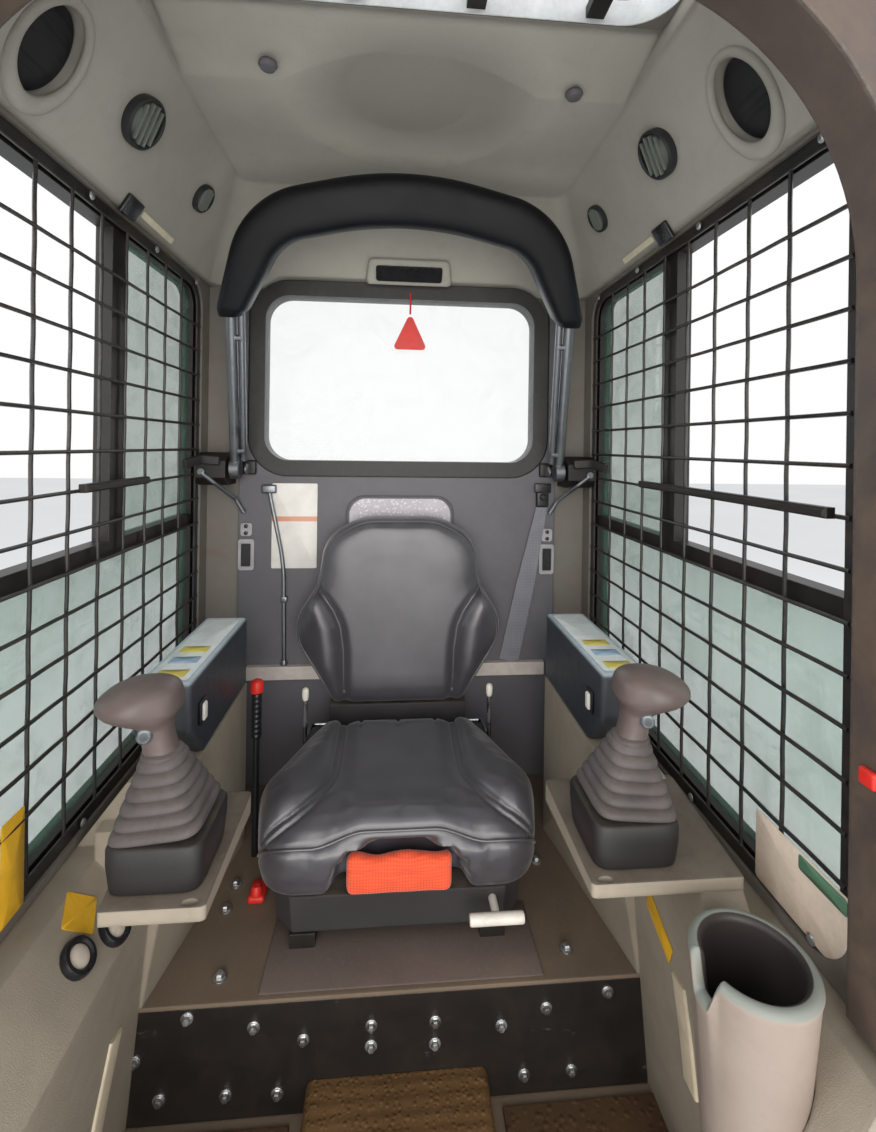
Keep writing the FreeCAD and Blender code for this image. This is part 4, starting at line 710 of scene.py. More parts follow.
def make_finish(slot):
    """The procedural finish that belongs to a material slot."""
    colours = bpy.context.scene.cab_colours
    makers = {
        "shell_paint": lambda: painted(slot, tuple(colours.shell), 0.5, 0.5, 0.45),
        "hoop_paint": lambda: painted(slot, tuple(colours.hoop), 0.42, 0.5, 0.5, 0.006),
        "floor_paint": lambda: walked(slot, tuple(colours.floor)),
        "black_metal": lambda: painted(slot, linear((19, 15, 13)), 0.46, 0.4, 0.06, 0.002),
        "wire": lambda: painted(slot, linear((24, 24, 26)), 0.4, 0.5, 0.2, 0.001),
        "grey_metal": lambda: bare_metal(slot, linear((132, 134, 138))),
        # the headliner, with painted shade in its dome and a painted highlight at its front
        "liner": lambda: liner_with_painted_light(slot, tuple(colours.liner), (0.02, -0.03), 0.20),
        "trim": lambda: dusted_trim(slot, tuple(colours.trim), linear((90, 79, 69)), 0.480),
        "dark_trim": lambda: moulded(slot, tuple(colours.dark), 0.5, 800, 0.0003, 0.3, 0.004),
        # armrest boxes with pale blue-grey tops: wear and a painted highlight
        "slate": lambda: top_highlighted(slot, tuple(colours.slate), linear((196, 210, 216))),
        "grip": lambda: moulded(slot, tuple(colours.grip), 0.4, 1300, 0.00015, 0.12, 0.003),
        "boot": lambda: rubber(slot, tuple(colours.boot), 0.58, 0.2),
        "mat": lambda: walked(slot, tuple(colours.mat), (150, 112, 70), 130),
        "seal": lambda: rubber(slot, linear((58, 57, 56)), 0.55, 0.1),
        "vinyl": lambda: hide_like(slot, tuple(colours.vinyl)),
        "foam": lambda: foam_skin(slot, tuple(colours.foam)),
        "tinted_glass": lambda: pane(slot, linear((96, 150, 124)), 0.60),
        "clear_glass": lambda: pane(slot, linear((196, 210, 208)), 0.95),
        "webbing": lambda: woven(slot, linear((118, 118, 124))),
        "orange": lambda: woven(slot, linear((232, 84, 48)), 400),
        "red": lambda: enamel(slot, linear((214, 44, 34)), 0.45),
        "white": lambda: enamel(slot, linear((222, 216, 206)), 0.42),
        "cup": lambda: banded_cup(slot, tuple(colours.cup), linear((126, 130, 122)), linear((48, 42, 40)),
                                  (0.340, -0.353), 0.275, 0.480),
        "lamp": lambda: enamel(slot, linear((27, 27, 30)), 0.3),
    }
    return makers[slot]()


# Pieces of the roof, the windows and the rear

class CAB_OT_finishes(bpy.types.Operator):
    """Give every CAD node the procedural finish of its material slot."""
    bl_idname = "cab.finishes"
    bl_label = "Finishes"

    def execute(self, context):
        own = {"rear_cross_bar": enamel("cross_bar", linear((196, 186, 178)), 0.45),
               "seat_pan": moulded("pan_shell", linear((50, 48, 49)), 0.5)}
        own["seat_back_frame"] = own["seat_pan"]
        for name, node in frame["nodes"].items():
            finish = own.get(name) or finish_of(SLOT_OF[name])
            node.data.materials.clear()
            node.data.materials.append(finish)
        return {"FINISHED"}


class CAB_OT_screens(bpy.types.Operator):
    """Make the welded screens: a flat rim and round wires, level ones over upright ones.

    A wire is a circle carried along a line that bows by a fraction of its radius between the crossings.
    """
    bl_idname = "cab.screens"
    bl_label = "Side screens"

    def execute(self, context):
        sizes = context.scene.cab_sizes
        radius = sizes.wire
        for side, sign in SIDES:
            low, high = BOX[f"side_screen_{side}"]
            middle, size = (low + high) / 2, high - low
            inner = min(abs(low[0]), abs(high[0]))
            rim = 0.018
            outline = round_corners(size[1] - rim, size[2] - rim, 0.06 - rim / 2, 9)
            path = np.column_stack([np.full(len(outline), sign * (inner + 0.0055)), outline + middle[1:]])
            forms = [swept(path, round_corners(rim, 0.0045, 0.001, 2), (1, 0, 0), True)]
            columns = int((size[1] - 2 * rim) // sizes.pitch_y)
            rows = int((size[2] - 2 * rim) // sizes.pitch_z)
            forms.append(self.wires(middle, size, columns, sizes.pitch_y, 1, sign * (inner + 0.0058), radius))
            forms.append(self.wires(middle, size, rows, sizes.pitch_z, 2, sign * (inner + 0.0018), radius))
            screen = made(f"screen_{side}", joined(forms), finish_of("wire"))
            standing_for(screen, f"side_screen_{side}")
        return {"FINISHED"}

    @staticmethod
    def wires(middle, size, count, pitch, axis, x, radius):
        """All wires of one direction as one form."""
        other = 3 - axis
        places = middle[axis] + (np.arange(1, count) - count / 2) * pitch
        run = np.linspace(-0.5, 0.5, 41) * (size[other] - 0.016) + middle[other]
        path = np.zeros((41, 3))
        path[:, other] = run
        path[:, 0] = radius * 0.18 * np.sin(run * 2 * np.pi / 0.108)
        one = tube(path, radius, 8, (1, 0, 0))
        verts = np.stack([one[0] + (x, *(place if k == axis else 0.0 for k in (1, 2))) for place in places])
        return joined([(wire, one[1]) for wire in verts])


class CAB_OT_vents(bpy.types.Operator):
    """Make the four ball vents: a turned bezel, a turned bowl and straight vanes across it."""
    bl_idname = "cab.vents"
    bl_label = "Air vents"

    def execute(self, context):
        dark = moulded("vent_black", linear((40, 40, 42)), 0.4, 1200, 0.0001, 0.1, 0.001)
        green = moulded("vent_vane", linear((104, 110, 102)), 0.45, 1200, 0.0001, 0.15, 0.001)
        bezels, vanes = [], []
        for sign in (-1, 1):
            for share, y, size in ((0.54, -0.070, 0.038), (0.55, 0.169, 0.0274)):
                foot, into = on_slope(sign, share, y)
                bezel = [(0.97, 0), (1.0, 0.16), (0.98, 0.3), (0.9, 0.36), (0.82, 0.3), (0.79, 0.16), (0.8, 0.05)]
                bezels.append(turned(np.array(bezel) * size, foot + into * 0.0003, into, 40, 0.97))
                bowl = [(0.78, 0.12), (0.7, 0.2), (0.5, 0.27), (0.25, 0.3)]
                vanes.append(turned(np.array(bowl) * size, foot, into, 32))
                along = unit(np.array([0.0, -0.25, 1.0]) - into * into[2])
                across = np.cross(into, along)
                for step in (-0.45, -0.15, 0.15, 0.45):
                    half = math.sqrt(0.62 - step * step) * size
                    slat = soft_box(np.array([-half, -0.035 * size, 0]), np.array([half, 0.035 * size, 0.22 * size]),
                                    0.03 * size, 3)
                    middle = foot + across * step * size + into * 0.2 * size
                    vanes.append((middle + slat[0] @ np.stack([along, across, into]), slat[1]))
        standing_for(made("vent_bezels", joined(bezels), dark), "air_vents")
        finished(made("vent_vanes", joined(vanes), green))
        return {"FINISHED"}


def on_slope(sign, share, y):
    """A point on the headliner's side slope and the direction into the cab."""
    point = np.array([sign * (0.4327 - 0.103 * share), y, 1.3363 + 0.1637 * share])
    return point, np.array([-sign * 0.8464, 0, -0.5326])


class CAB_OT_speakers(bpy.types.Operator):
    """Make the speaker pockets: a pierced dish and an oval collar that swells towards its lower end."""
    bl_idname = "cab.speakers"
    bl_label = "Speakers"

    def execute(self, context):
        mesh = dotted("speaker_cloth", linear((26, 26, 28)), linear((8, 8, 8)))
        dishes, collars = [], []
        for sign in (-1, 1):
            foot, into = on_slope(sign, 0.36, -0.238)
            up = np.array([-sign * 0.5326, 0, 0.8464])
            across = np.cross(up, into)
            turn = np.stack([up, across, into])
            around = circle(64)
            swell = 1 + 0.9 * np.clip(-around[:, 0], 0, 1) ** 2
            path = np.column_stack([around * (0.060, 0.044), np.full(64, 0.001)])
            collar = swept(path, circle(12) * (0.006, 0.005), (0, 0, 1), True, swell)
            collars.append((foot + collar[0] @ turn, collar[1]))
            rings = np.array([1.0, 0.97, 0.7, 0.4, 0.1])[:, None, None] * (around * (0.052, 0.037))[None]
            dish = lofted(rings, [-0.015, -0.011, -0.008, -0.006, -0.005], (0, 0, 0))
            dishes.append((foot + dish[0] @ turn, dish[1]))
        standing_for(made("speaker_dishes", joined(dishes), mesh), "speaker_grilles")
        finished(made("speaker_collars", joined(collars), finish_of("liner")))
        return {"FINISHED"}


class CAB_OT_lamp(bpy.types.Operator):
    """Make the dome lamp: a rounded trapezoid surround and a smoked lens plate."""
    bl_idname = "cab.lamp"
    bl_label = "Header lamp"

    def execute(self, context):
        middle = np.array([0.012, 0.3735, 1.3700])
        up, into = np.array([0, -0.7077, 0.7065]), np.array([0, -0.7065, -0.7077])
        outline = round_corners(0.150, 0.036, 0.007)
        lens = tag_form(middle + into * 0.005, (1, 0, 0), up, 0.150, 0.036, 0.006, 0.007)
        wide = np.stack([outline * (1.27, 1.75), outline * (1.25, 1.7), outline * (1.1, 1.25), outline * (1.05, 1.1)])
        wide[..., 0] *= 1 - wide[..., 1] * 1.6
        surround = lofted(wide, [0.0004, 0.004, 0.0075, 0.0068], middle, turn=(np.array([1.0, 0, 0]), up, into))
        standing_for(made("lamp_lens", lens, finish_of("lamp")), "header_lamp")
        finished(made("lamp_surround", surround, finish_of("liner")))
        return {"FINISHED"}


class CAB_OT_liner_fittings(bpy.types.Operator):
    """Make the small fittings of the headliner: two turned knobs, the edge clips and their cream strips."""
    bl_idname = "cab.liner_fittings"
    bl_label = "Headliner fittings"

    def execute(self, context):
        knobs = [turned([(0.012, 0), (0.013, 0.004), (0.010, 0.009), (0.004, 0.0105)], (x, y, 1.4998), (0, 0, -1), 28)
                 for x, y in ((-0.198, -0.097), (0.239, -0.080))]
        finished(made("liner_knobs", joined(knobs), finish_of("dark_trim")))
        strips, clips = [], []
        for sign in (-1, 1):
            for share, y, wide in ((0.045, 0.11, 0.120),):
                foot, into = on_slope(sign, share, y)
                up = np.array([-sign * 0.5326, 0, 0.8464])
                strips.append(tag_form(foot + into * 0.0003, np.cross(up, into) * 1.0, up, wide, 0.011, 0.003, 0.002))
            foot, into = on_slope(sign, 0.02, 0.016)
            clip = soft_box(np.array([-0.022, -0.016, 0.0]), np.array([0.022, 0.016, 0.008]), 0.003, 4)
            up = np.array([-sign * 0.5326, 0, 0.8464])
            clips.append((foot + clip[0] @ np.stack([np.cross(up, into), up, into]), clip[1]))
        finished(made("liner_strips", joined(strips), enamel("cream_strip", linear((214, 206, 176)))))
        finished(made("liner_clips", joined(clips), finish_of("lamp")))
        return {"FINISHED"}


class CAB_OT_roof_well_light(bpy.types.Operator):
    """Make a painted highlight for the roof window's well: its hole's outline, drawn in a little, as a thin upright
    band coloured near white to stand for the well's wall lit from above.
    """
    bl_idname = "cab.roof_lining"
    bl_label = "Roof window lining"

    def execute(self, context):
        low, high = BOX["roof_glass"]
        middle, size = (low + high) / 2, high - low
        foot = BOX["roof"][0][2] + 0.0004
        rings = []
        for inward, z in ((0.0002, foot), (0.0016, foot), (0.0016, low[2] - 0.0004), (0.0002, low[2] - 0.0004)):
            flat = round_corners(size[0] - 2 * inward, size[1] - 2 * inward, 0.0597 - inward, 12)
            rings.append(np.column_stack([flat + middle[:2], np.full(len(flat), z)]))
        band = sheet_form(np.stack(rings)[::-1], True, True)
        # near white band: painted light for the well's wall lit through the roof glass
        finished(made("roof_well_painted_light", band, enamel("skylight_painted_white", linear((236, 238, 238)), 0.5), flat=True))
        return {"FINISHED"}


class CAB_OT_rear(bpy.types.Operator):
    """Make the rear trims' pieces: dotted hump, fastener plates, stay rod, notice sheet and release tag."""
    bl_idname = "cab.rear"
    bl_label = "Rear trims"

    def execute(self, context):
        face = 0.4157
        low, high = BOX["rear_hump"]
        outline = round_corners(high[0] - low[0], high[2] - low[2], 0.042, 9)
        centre = np.array([0, face, (low[2] + high[2]) / 2])
        turn = (np.array([1.0, 0, 0]), np.array([0, 0, 1.0]), np.array([0, -1.0, 0]))
        rings = np.stack([outline, outline, outline * (0.985, 0.994), outline * (0.95, 0.98), outline * (0.9, 0.965)])
        hump = lofted(rings, [0.0, 0.004, 0.0065, 0.0077, 0.008], centre, turn=turn)
        standing_for(made("hump", hump, finish_of("dark_trim")), "rear_hump")
        crown = round_corners(0.236, 0.110, 0.038, 9)
        pad = lofted(np.stack([crown, crown * 0.99, crown * 0.95]), [0.0078, 0.0094, 0.0098],
                     centre + (0, 0, 0.273), turn=turn)
        finished(made("hump_panel", pad, dotted("sound_panel", linear((182, 176, 183)), linear((224, 219, 224)))))
        frames, insets = [], []
        for x, z in ((-0.351, 0.735), (0.351, 0.722)):
            frames.append(tag_form((x, face - 0.0002, z - 0.014), (1, 0, 0), (0, 0, 1), 0.036, 0.072, 0.006, 0.004))
            frames.append(tag_form((x, face - 0.0002, z + 0.044), (1, 0, 0), (0, 0, 1), 0.026, 0.030, 0.006, 0.005))
            insets.append(tag_form((x, face - 0.0063, z - 0.014), (1, 0, 0), (0, 0, 1), 0.021, 0.052, 0.002, 0.0012))
            insets += [turned([(0.0045, 0), (0.0045, 0.002), (0.002, 0.003)], (x, face - 0.0063, z + dz), (0, -1, 0), 16)
                       for dz in (0.036, 0.052)]
        finished(made("rear_plates", joined(frames), enamel("plate_grey", linear((158, 156, 158)))))
        finished(made("rear_insets", joined(insets), finish_of("lamp")))
        sheet = made("notice_sheet", tag_form((-0.2435, face - 0.0002, 0.787), (1, 0, 0), (0, 0, 1), 0.103, 0.196, 0.003,
                                              0.0012), notice_finish())
        finished(sheet)
        rod = [tube(smooth_path([(-0.262, 0.4100, 0.4675), (-0.2655, 0.4100, 0.70), (-0.300, 0.4100, 0.865)],
                                [0.5]), 0.0046, 12, (0, 1, 0))]
        rod.append(soft_box(np.array([-0.318, 0.4045, 0.862]), np.array([-0.284, 0.4155, 0.882]), 0.004, 4))
        rod += [turned([(0.0075, 0), (0.0082, 0.004), (0.006, 0.012)], (-0.262, 0.4100, 0.4673), (0, 0, 1), 20),
                soft_box(np.array([-0.272, 0.4045, 0.612]), np.array([-0.256, 0.4155, 0.626]), 0.003, 4)]
        standing_for(made("stay", joined(rod), finish_of("grey_metal")), "stay_rod")
        tag = rounded_triangle(np.array([0.017, 0.4168, 1.2455]), 0.041, 0.044, 0.008)
        forms = [plate_form(tag, 0.003, 0.02),
                 tube([(0.017, 0.4165, 1.285), (0.0172, 0.4150, 1.31), (0.017, 0.4152, 1.335)], 0.0022, 8, (0, 1, 0))]
        standing_for(made("release_triangle", joined(forms), finish_of("red")), "release_tag")
        return {"FINISHED"}


def rounded_triangle(middle, half, tall, radius):
    """An upright triangle with its point at the top and arc corners, about a middle."""
    corners = middle + np.array([[0, 0, tall], [-half, 0, -tall], [half, 0, -tall]])
    start = (corners[0] + corners[1]) / 2
    loop = smooth_path([start, corners[1], corners[2], corners[0], start], [radius] * 3, 0.002)
    return loop[:-1]


def notice_finish():
    """White laminated sheet with one orange stripe across it and a soft crease."""
    finish = Finish("notice", Specular_IOR_Level=0.5)
    height = finish.node("SeparateXYZ", (), {0: finish.node("TexCoord", out="Object")}, out="Z")
    stripe = height.between(0.797, 0.7975) * (1 - height.between(0.8085, 0.809))
    paper = finish.noise(20, 4).between(0.3, 0.7)
    base = finish.mix(linear((206, 202, 196)), linear((226, 222, 216)), paper)
    finish.feed("Base Color", finish.mix(base, linear((206, 120, 76)), stripe * 0.8))
    finish.feed("Roughness", paper * 0.15 + 0.3)
    finish.bump(finish.noise(14, 3), 0.002, 0.4)
    return finish.material


class CAB_OT_belt(bpy.types.Operator):
    """Make the seat belt: webbing from the upper guide to the hip, slack, and its fittings.

    The strap is a flat oval carried along a curve that hangs by its slack; its width follows the CAD strap.
    """
    bl_idname = "cab.belt"
    bl_label = "Seat belt"

    def execute(self, context):
        share = np.linspace(0, 1, 90)
        path = np.column_stack([0.3380 - 0.076 * share, 0.4108 - 0.0015 * np.sin(np.pi * share),
                                0.8345 - 0.367 * share])
        width = np.interp(share, [0, 0.12, 0.5, 1], [0.026, 0.030, 0.043, 0.046]) / 0.046
        profile = np.array([(-0.023, -0.0006), (0.023, -0.0006), (0.0232, 0), (0.023, 0.0006), (-0.023, 0.0006),
                            (-0.0232, 0)])
        strap = swept(path, profile, (0, -1, 0), scale=width)
        strap[0][:540, 1] += 0.0006 * np.sin(np.repeat(share, 6) * 40)
        webbing = made("belt_webbing", strap, finish_of("webbing"), rounds=0)
        standing_for(webbing, "seat_belt")
        low, high = BOX["belt_retractor"]
        guide = [soft_box(low, high, 0.005, 6),
                 soft_box(np.array([0.318, 0.4025, 0.868]), np.array([0.358, 0.4075, 0.890]), 0.0024, 4)]
        guide.append(turned([(0.0075, 0), (0.0075, 0.003), (0.005, 0.005)], (0.338, 0.4043, 0.858), (0, -1, 0), 20))
        standing_for(made("belt_guide", joined(guide), finish_of("lamp")), "belt_retractor")
        return {"FINISHED"}


# Controls

class CAB_OT_towers(bpy.types.Operator):
    """Make the lever towers: superellipse rings from a square foot to a smaller shoulder with a rolled edge."""
    bl_idname = "cab.towers"
    bl_label = "Lever towers"

    def execute(self, context):
        housing = moulded("tower_shell", tuple(context.scene.cab_colours.tower), 0.5, 900, 0.0002, 0.15)
        for side, sign in SIDES:
            low, high = BOX[f"tower_{side}"]
            foot = np.array([(low[0] + high[0]) / 2, (low[1] + high[1]) / 2, low[2]])
            tall = high[2] - low[2]
            levels = np.array([0, 0.03, 0.12, 0.6, 0.9, 0.98, 1.0])
            half = np.array([0.0490, 0.0510, 0.0520, 0.0545, 0.0545, 0.0525, 0.046])
            rings = squarish(1, 1, 6.5, 72)[None] * half[:, None, None]
            tower = made(f"housing_{side}", lofted(rings, levels * tall, foot), housing)
            standing_for(tower, f"tower_{side}")
        return {"FINISHED"}


class CAB_OT_boots(bpy.types.Operator):
    """Make the pleated boots: rings that shrink and round off upwards, swelling and pinching at each pleat."""
    bl_idname = "cab.boots"
    bl_label = "Lever boots"

    def execute(self, context):
        count = context.scene.cab_sizes.pleats
        for side, sign in SIDES:
            low, high = BOX[f"boot_{side}"]
            foot = np.array([sign * 0.279, -0.192, 0.5333])
            lean = math.radians(5)
            way = np.array([sign * math.sin(lean), 0, math.cos(lean)])
            share = np.linspace(0, 1, count * 12 + 1)
            wave = share * count
            pleat = (1 - np.abs(2 * (wave - np.floor(wave)) - 1) ** 2.6) * 0.0062 * (1 - 0.5 * share)
            half = 0.0495 + (0.0235 - 0.0495) * share ** 1.1 + pleat - 0.003
            power = 6.0 - 3.8 * share ** 0.7
            angle = circle(64)
            rings = np.sign(angle)[None] * np.abs(angle)[None] ** (2 / power)[:, None, None] * half[:, None, None]
            first = np.array([way[2], 0, -way[0]])
            rise = share * 0.0775
            boot = lofted(rings, rise, foot, turn=(first, np.array([0, 1.0, 0]), way))
            piece = made(f"bellows_{side}", boot, finish_of("boot"))
            standing_for(piece, f"boot_{side}")
        return {"FINISHED"}


class CAB_OT_grips(bpy.types.Operator):
    """Make the palm grips: a slim neck under a wide flattened head with a thumb rest, as superellipse rings.

    A ring's two half widths and the way its middle stands out come from a table, smoothed up the grip.
    """
    bl_idname = "cab.grips"
    bl_label = "Palm grips"

    def execute(self, context):
        tables = np.array([[0.000, 0.0200, 0.0200, 0.000], [0.010, 0.0185, 0.0190, 0.001],
                           [0.024, 0.0180, 0.0190, 0.002], [0.036, 0.0195, 0.0215, 0.003],
                           [0.043, 0.0270, 0.0290, 0.005], [0.049, 0.0375, 0.0370, 0.007],
                           [0.055, 0.0440, 0.0425, 0.008], [0.062, 0.0462, 0.0450, 0.009],
                           [0.069, 0.0452, 0.0440, 0.009], [0.076, 0.0405, 0.0395, 0.008],
                           [0.082, 0.0320, 0.0310, 0.007], [0.0865, 0.0190, 0.0185, 0.006],
                           [0.0880, 0.0040, 0.0040, 0.006]])
        rise = np.linspace(0, 1, 60) * tables[-1, 0]
        table = np.stack([np.interp(rise, tables[:, 0], tables[:, column]) for column in range(4)], -1)
        smooth = np.array([0.25, 0.5, 0.25])
        for _ in range(3):
            table[1:-1, 1:] = np.stack([np.convolve(table[:, column], smooth, "valid") for column in (1, 2, 3)], -1)
        for side, sign in SIDES:
            foot = np.array([sign * 0.2860, -0.192, 0.6085])
            rings = squarish(1, 1, 2.3, 64)[None] * table[:, None, 1:3]
            rings[..., 0] += sign * table[:, 3, None] * 2.9
            front = np.clip(-rings[..., 1] / 0.045, 0, 1)
            dip = np.exp(-((rings[..., 0] + sign * 0.004) / 0.017) ** 2) * front ** 2
            rings[..., 1] += dip * 0.007 * ease((rise - 0.040) / 0.015)[:, None]
            grip = lofted(rings, rise, foot, turn=(np.array([1.0, 0, 0]), np.array([0, 1.0, 0]), np.array([0, 0, 1.0])))
            piece = made(f"palm_{side}", grip, finish_of("grip"), rounds=1)
            standing_for(piece, f"lever_{side}")
            thumb = turned([(0.0085, 0), (0.0085, 0.003), (0.006, 0.0055), (0.002, 0.006)],
                           (sign * 0.298, -0.2135, 0.640), (sign * -0.25, -1, 0.1), 24)
            finished(made(f"thumb_{side}", thumb, finish_of("slate")))
            collar = turned([(0.0215, -0.004), (0.0235, 0.0), (0.0232, 0.004), (0.0195, 0.0065)], foot, sides=36)
            finished(made(f"palm_collar_{side}", collar, finish_of("boot")))
        return {"FINISHED"}


class CAB_OT_side_trims(bpy.types.Operator):
    """Make the side trims: the CAD moulding with a thinner shelf, drawn in to a slim arm under the tower.

    Points of the shelf come nearer to its top and to the tower's front; past a limit their X keeps a sixth.
    """
    bl_idname = "cab.side_trims"
    bl_label = "Side trims"

    def execute(self, context):
        for side, sign in SIDES:
            name = f"side_trim_{side}"
            mesh = frame["nodes"][name].data
            at = coordinates(mesh)
            shelf = (at[:, 2] > 0.4530) & (at[:, 2] < 0.4802) & (at[:, 1] < -0.1015) & (np.abs(at[:, 0]) < 0.4095)
            thin = shelf & (at[:, 1] < -0.11)
            at[thin, 2] = 0.480 - (0.480 - at[thin, 2]) * 0.6
            front = shelf & (at[:, 1] < -0.247)
            at[front, 1] = -0.247 + (at[front, 1] + 0.247) * 0.55
            limit = 0.318 if sign < 0 else 0.392
            far = shelf & (np.abs(at[:, 0]) > limit) & (at[:, 1] < -0.15)
            at[far, 0] = sign * (limit + (np.abs(at[far, 0]) - limit) / 6)
            form = (at, [face.vertices[:] for face in mesh.polygons])
            piece = made(f"moulding_{side}", form, finish_of("trim"), flat=True)
            standing_for(piece, name)
        return {"FINISHED"}


def prism(outline, x_low, x_high):
    """An outline of Y and Z drawn out between two X, as a form of flat faces."""
    outline = np.asarray(outline, float)
    rings = np.stack([np.column_stack([np.full(len(outline), x), outline]) for x in (x_low, x_high)])
    verts, faces = sheet_form(rings, False, True)
    count = len(outline)
    return verts, faces + [list(range(count)), list(range(2 * count - 1, count - 1, -1))]


class CAB_OT_armrests(bpy.types.Operator):
    """Make the armrests: a drawn profile with rolled edges, a sunk blank pad on top and a rocker switch."""
    bl_idname = "cab.armrests"
    bl_label = "Armrests"

    def execute(self, context):
        pads, blocks, switches = [], [], []
        for side, sign in SIDES:
            low, high = BOX[f"armrest_{side}"]
            near, far = sign * 0.300, sign * 0.380
            outline = [(low[1], high[2]), (low[1], low[2] + 0.060), (low[1] + 0.060, low[2]), (high[1], low[2]),
                       (high[1], high[2])]
            box = made(f"arm_box_{side}", prism(outline, near + sign * 0.0003, far), finish_of("slate"), bevel=0.007)
            box.modifiers["edge"].segments = 4
            standing_for(box, f"armrest_{side}")
            middle = np.array([sign * 0.340, 0.085, high[2] - 0.0006])
            pads.append(tag_form(middle, (1, 0, 0), (0, 1, 0), 0.060, 0.270, 0.006, 0.0016))
            for y, colour in ((-0.03, 0), (0.02, 1), (0.065, 0)):
                blocks.append((tag_form((middle[0], y, high[2] + 0.001), (1, 0, 0), (0, 1, 0), 0.044, 0.026, 0.002,
                                        0.0004), colour))
            x = near - sign * 0.0002
            switches.append(soft_box(np.array([x, -0.034, 0.558]), np.array([x - sign * 0.004, -0.006, 0.592]),
                                     0.0018, 4))
            switches.append(soft_box(np.array([x, -0.028, 0.562]), np.array([x - sign * 0.0075, -0.014, 0.588]),
                                     0.003, 5))
        finished(made("arm_pads", joined(pads), enamel("label_cream", linear((226, 232, 230)), 0.4)))
        for tone, rgb in ((0, (214, 196, 92)), (1, (156, 182, 204))):
            chosen = [form for form, colour in blocks if colour == tone]
            name = ("arm_blocks_warm", "arm_blocks_cool")[tone]
            finished(made(name, joined(chosen), enamel(name, linear(rgb), 0.5)))
        finished(made("arm_switches", joined(switches[0::2]), finish_of("lamp")))
        finished(made("arm_rockers", joined(switches[1::2]), finish_of("white")))
        return {"FINISHED"}


class CAB_OT_cup(bpy.types.Operator):
    """Make the cup holder: a tapered cup turned round Z, its fat rim dipping where a mug's handle goes.

    The dip is a smooth step of the angle round the cup, and fades out below the slot.
    """
    bl_idname = "cab.cup"
    bl_label = "Cup holder"

    def execute(self, context):
        x, y, top, tall = 0.340, -0.353, 0.480, 0.205
        roll = np.linspace(0, np.pi, 13)
        outer = [(0.0405, 0.0), (0.043, 0.004), (0.0478, 0.07), (0.0532, 0.14), (0.0572, tall - 0.012)]
        rim = [(0.0515 + 0.0070 * math.cos(a), tall - 0.0078 + 0.0075 * math.sin(a)) for a in roll]
        inner = [(0.0440, tall - 0.022), (0.0415, 0.12), (0.0380, 0.06), (0.036, 0.014), (0.030, 0.010)]
        profile = np.array(outer + rim + inner)
        ring = circle(240)
        angle = np.abs(np.angle(np.exp(1j * (np.arctan2(ring[:, 1], ring[:, 0]) - math.radians(187)))))
        dip = 1 - ease((angle - 0.12) / 0.24)
        height = profile[:, 1][:, None] - dip[None] * 0.030 * np.clip((profile[:, 1] - 0.085) / 0.10, 0, 1)[:, None]
        points = np.stack([x + profile[:, :1] * ring[None, :, 0], y + profile[:, :1] * ring[None, :, 1],
                           top - tall + height], -1)
        cup = made("cup", sheet_form(points, False, True, True), finish_of("cup"))
        standing_for(cup, "cup_holder")
        return {"FINISHED"}


class CAB_OT_sockets(bpy.types.Operator):
    """Make the two round sockets in the left trim's slope: a dark ring turned round a pale domed plug."""
    bl_idname = "cab.sockets"
    bl_label = "Sockets"

    def execute(self, context):
        rings, plugs = [], []
        into = unit(np.array([0.735, 0, 0.678]))
        for y, share in ((-0.205, 0.45), (-0.150, 0.24)):
            foot = np.array([-0.345 - 0.0637 * share, y, 0.350 + 0.069 * share]) + into * 0.0004
            rings.append(turned([(0.0208, 0), (0.0212, 0.004), (0.0195, 0.0085), (0.0158, 0.0090), (0.0135, 0.0070),
                                 (0.0130, 0.0030)], foot, into, 40))
            plugs.append(turned([(0.0129, 0.0020), (0.0127, 0.0058), (0.0095, 0.0072), (0.004, 0.0078)], foot, into, 32))
        standing_for(made("socket_rings", joined(rings), finish_of("lamp")), "trim_sockets")
        finished(made("socket_plugs", joined(plugs), enamel("plug_cream", linear((206, 194, 178)), 0.5)))
        return {"FINISHED"}


# Soft pieces

def coordinates(mesh):
    """The points of a mesh as an array."""
    points = np.empty(len(mesh.vertices) * 3)
    mesh.vertices.foreach_get("co", points)
    return points.reshape(-1, 3)


def move_points(piece, points):
    """Puts an array of points back into a piece's mesh."""
    piece.data.vertices.foreach_set("co", points.ravel())
    piece.data.update()


def baked(piece):
    """Turns a piece's modifiers into its mesh."""
    depsgraph = bpy.context.evaluated_depsgraph_get()
    mesh = bpy.data.meshes.new_from_object(piece.evaluated_get(depsgraph))
    piece.modifiers.clear()
    old, piece.data = piece.data, mesh
    bpy.data.meshes.remove(old)
    mesh.name = piece.name
    mesh.shade_smooth()


def ease(value):
    """A smooth step from 0 to 1."""
    value = np.clip(value, 0, 1)
    return value * value * (3 - 2 * value)


def evened(mesh, ways, passes):
    """Each point's way averaged with those of its neighbours, so many times over."""
    ends = np.empty(len(mesh.edges) * 2, np.int32)
    mesh.edges.foreach_get("vertices", ends)
    near, far = np.vstack([ends.reshape(-1, 2), ends.reshape(-1, 2)[:, ::-1]]).T
    number = 1 + np.bincount(near, minlength=len(ways))[:, None]
    for _ in range(passes):
        ways = (ways + np.stack([np.bincount(near, ways[far, axis], len(ways)) for axis in range(3)], -1)) / number
    return ways


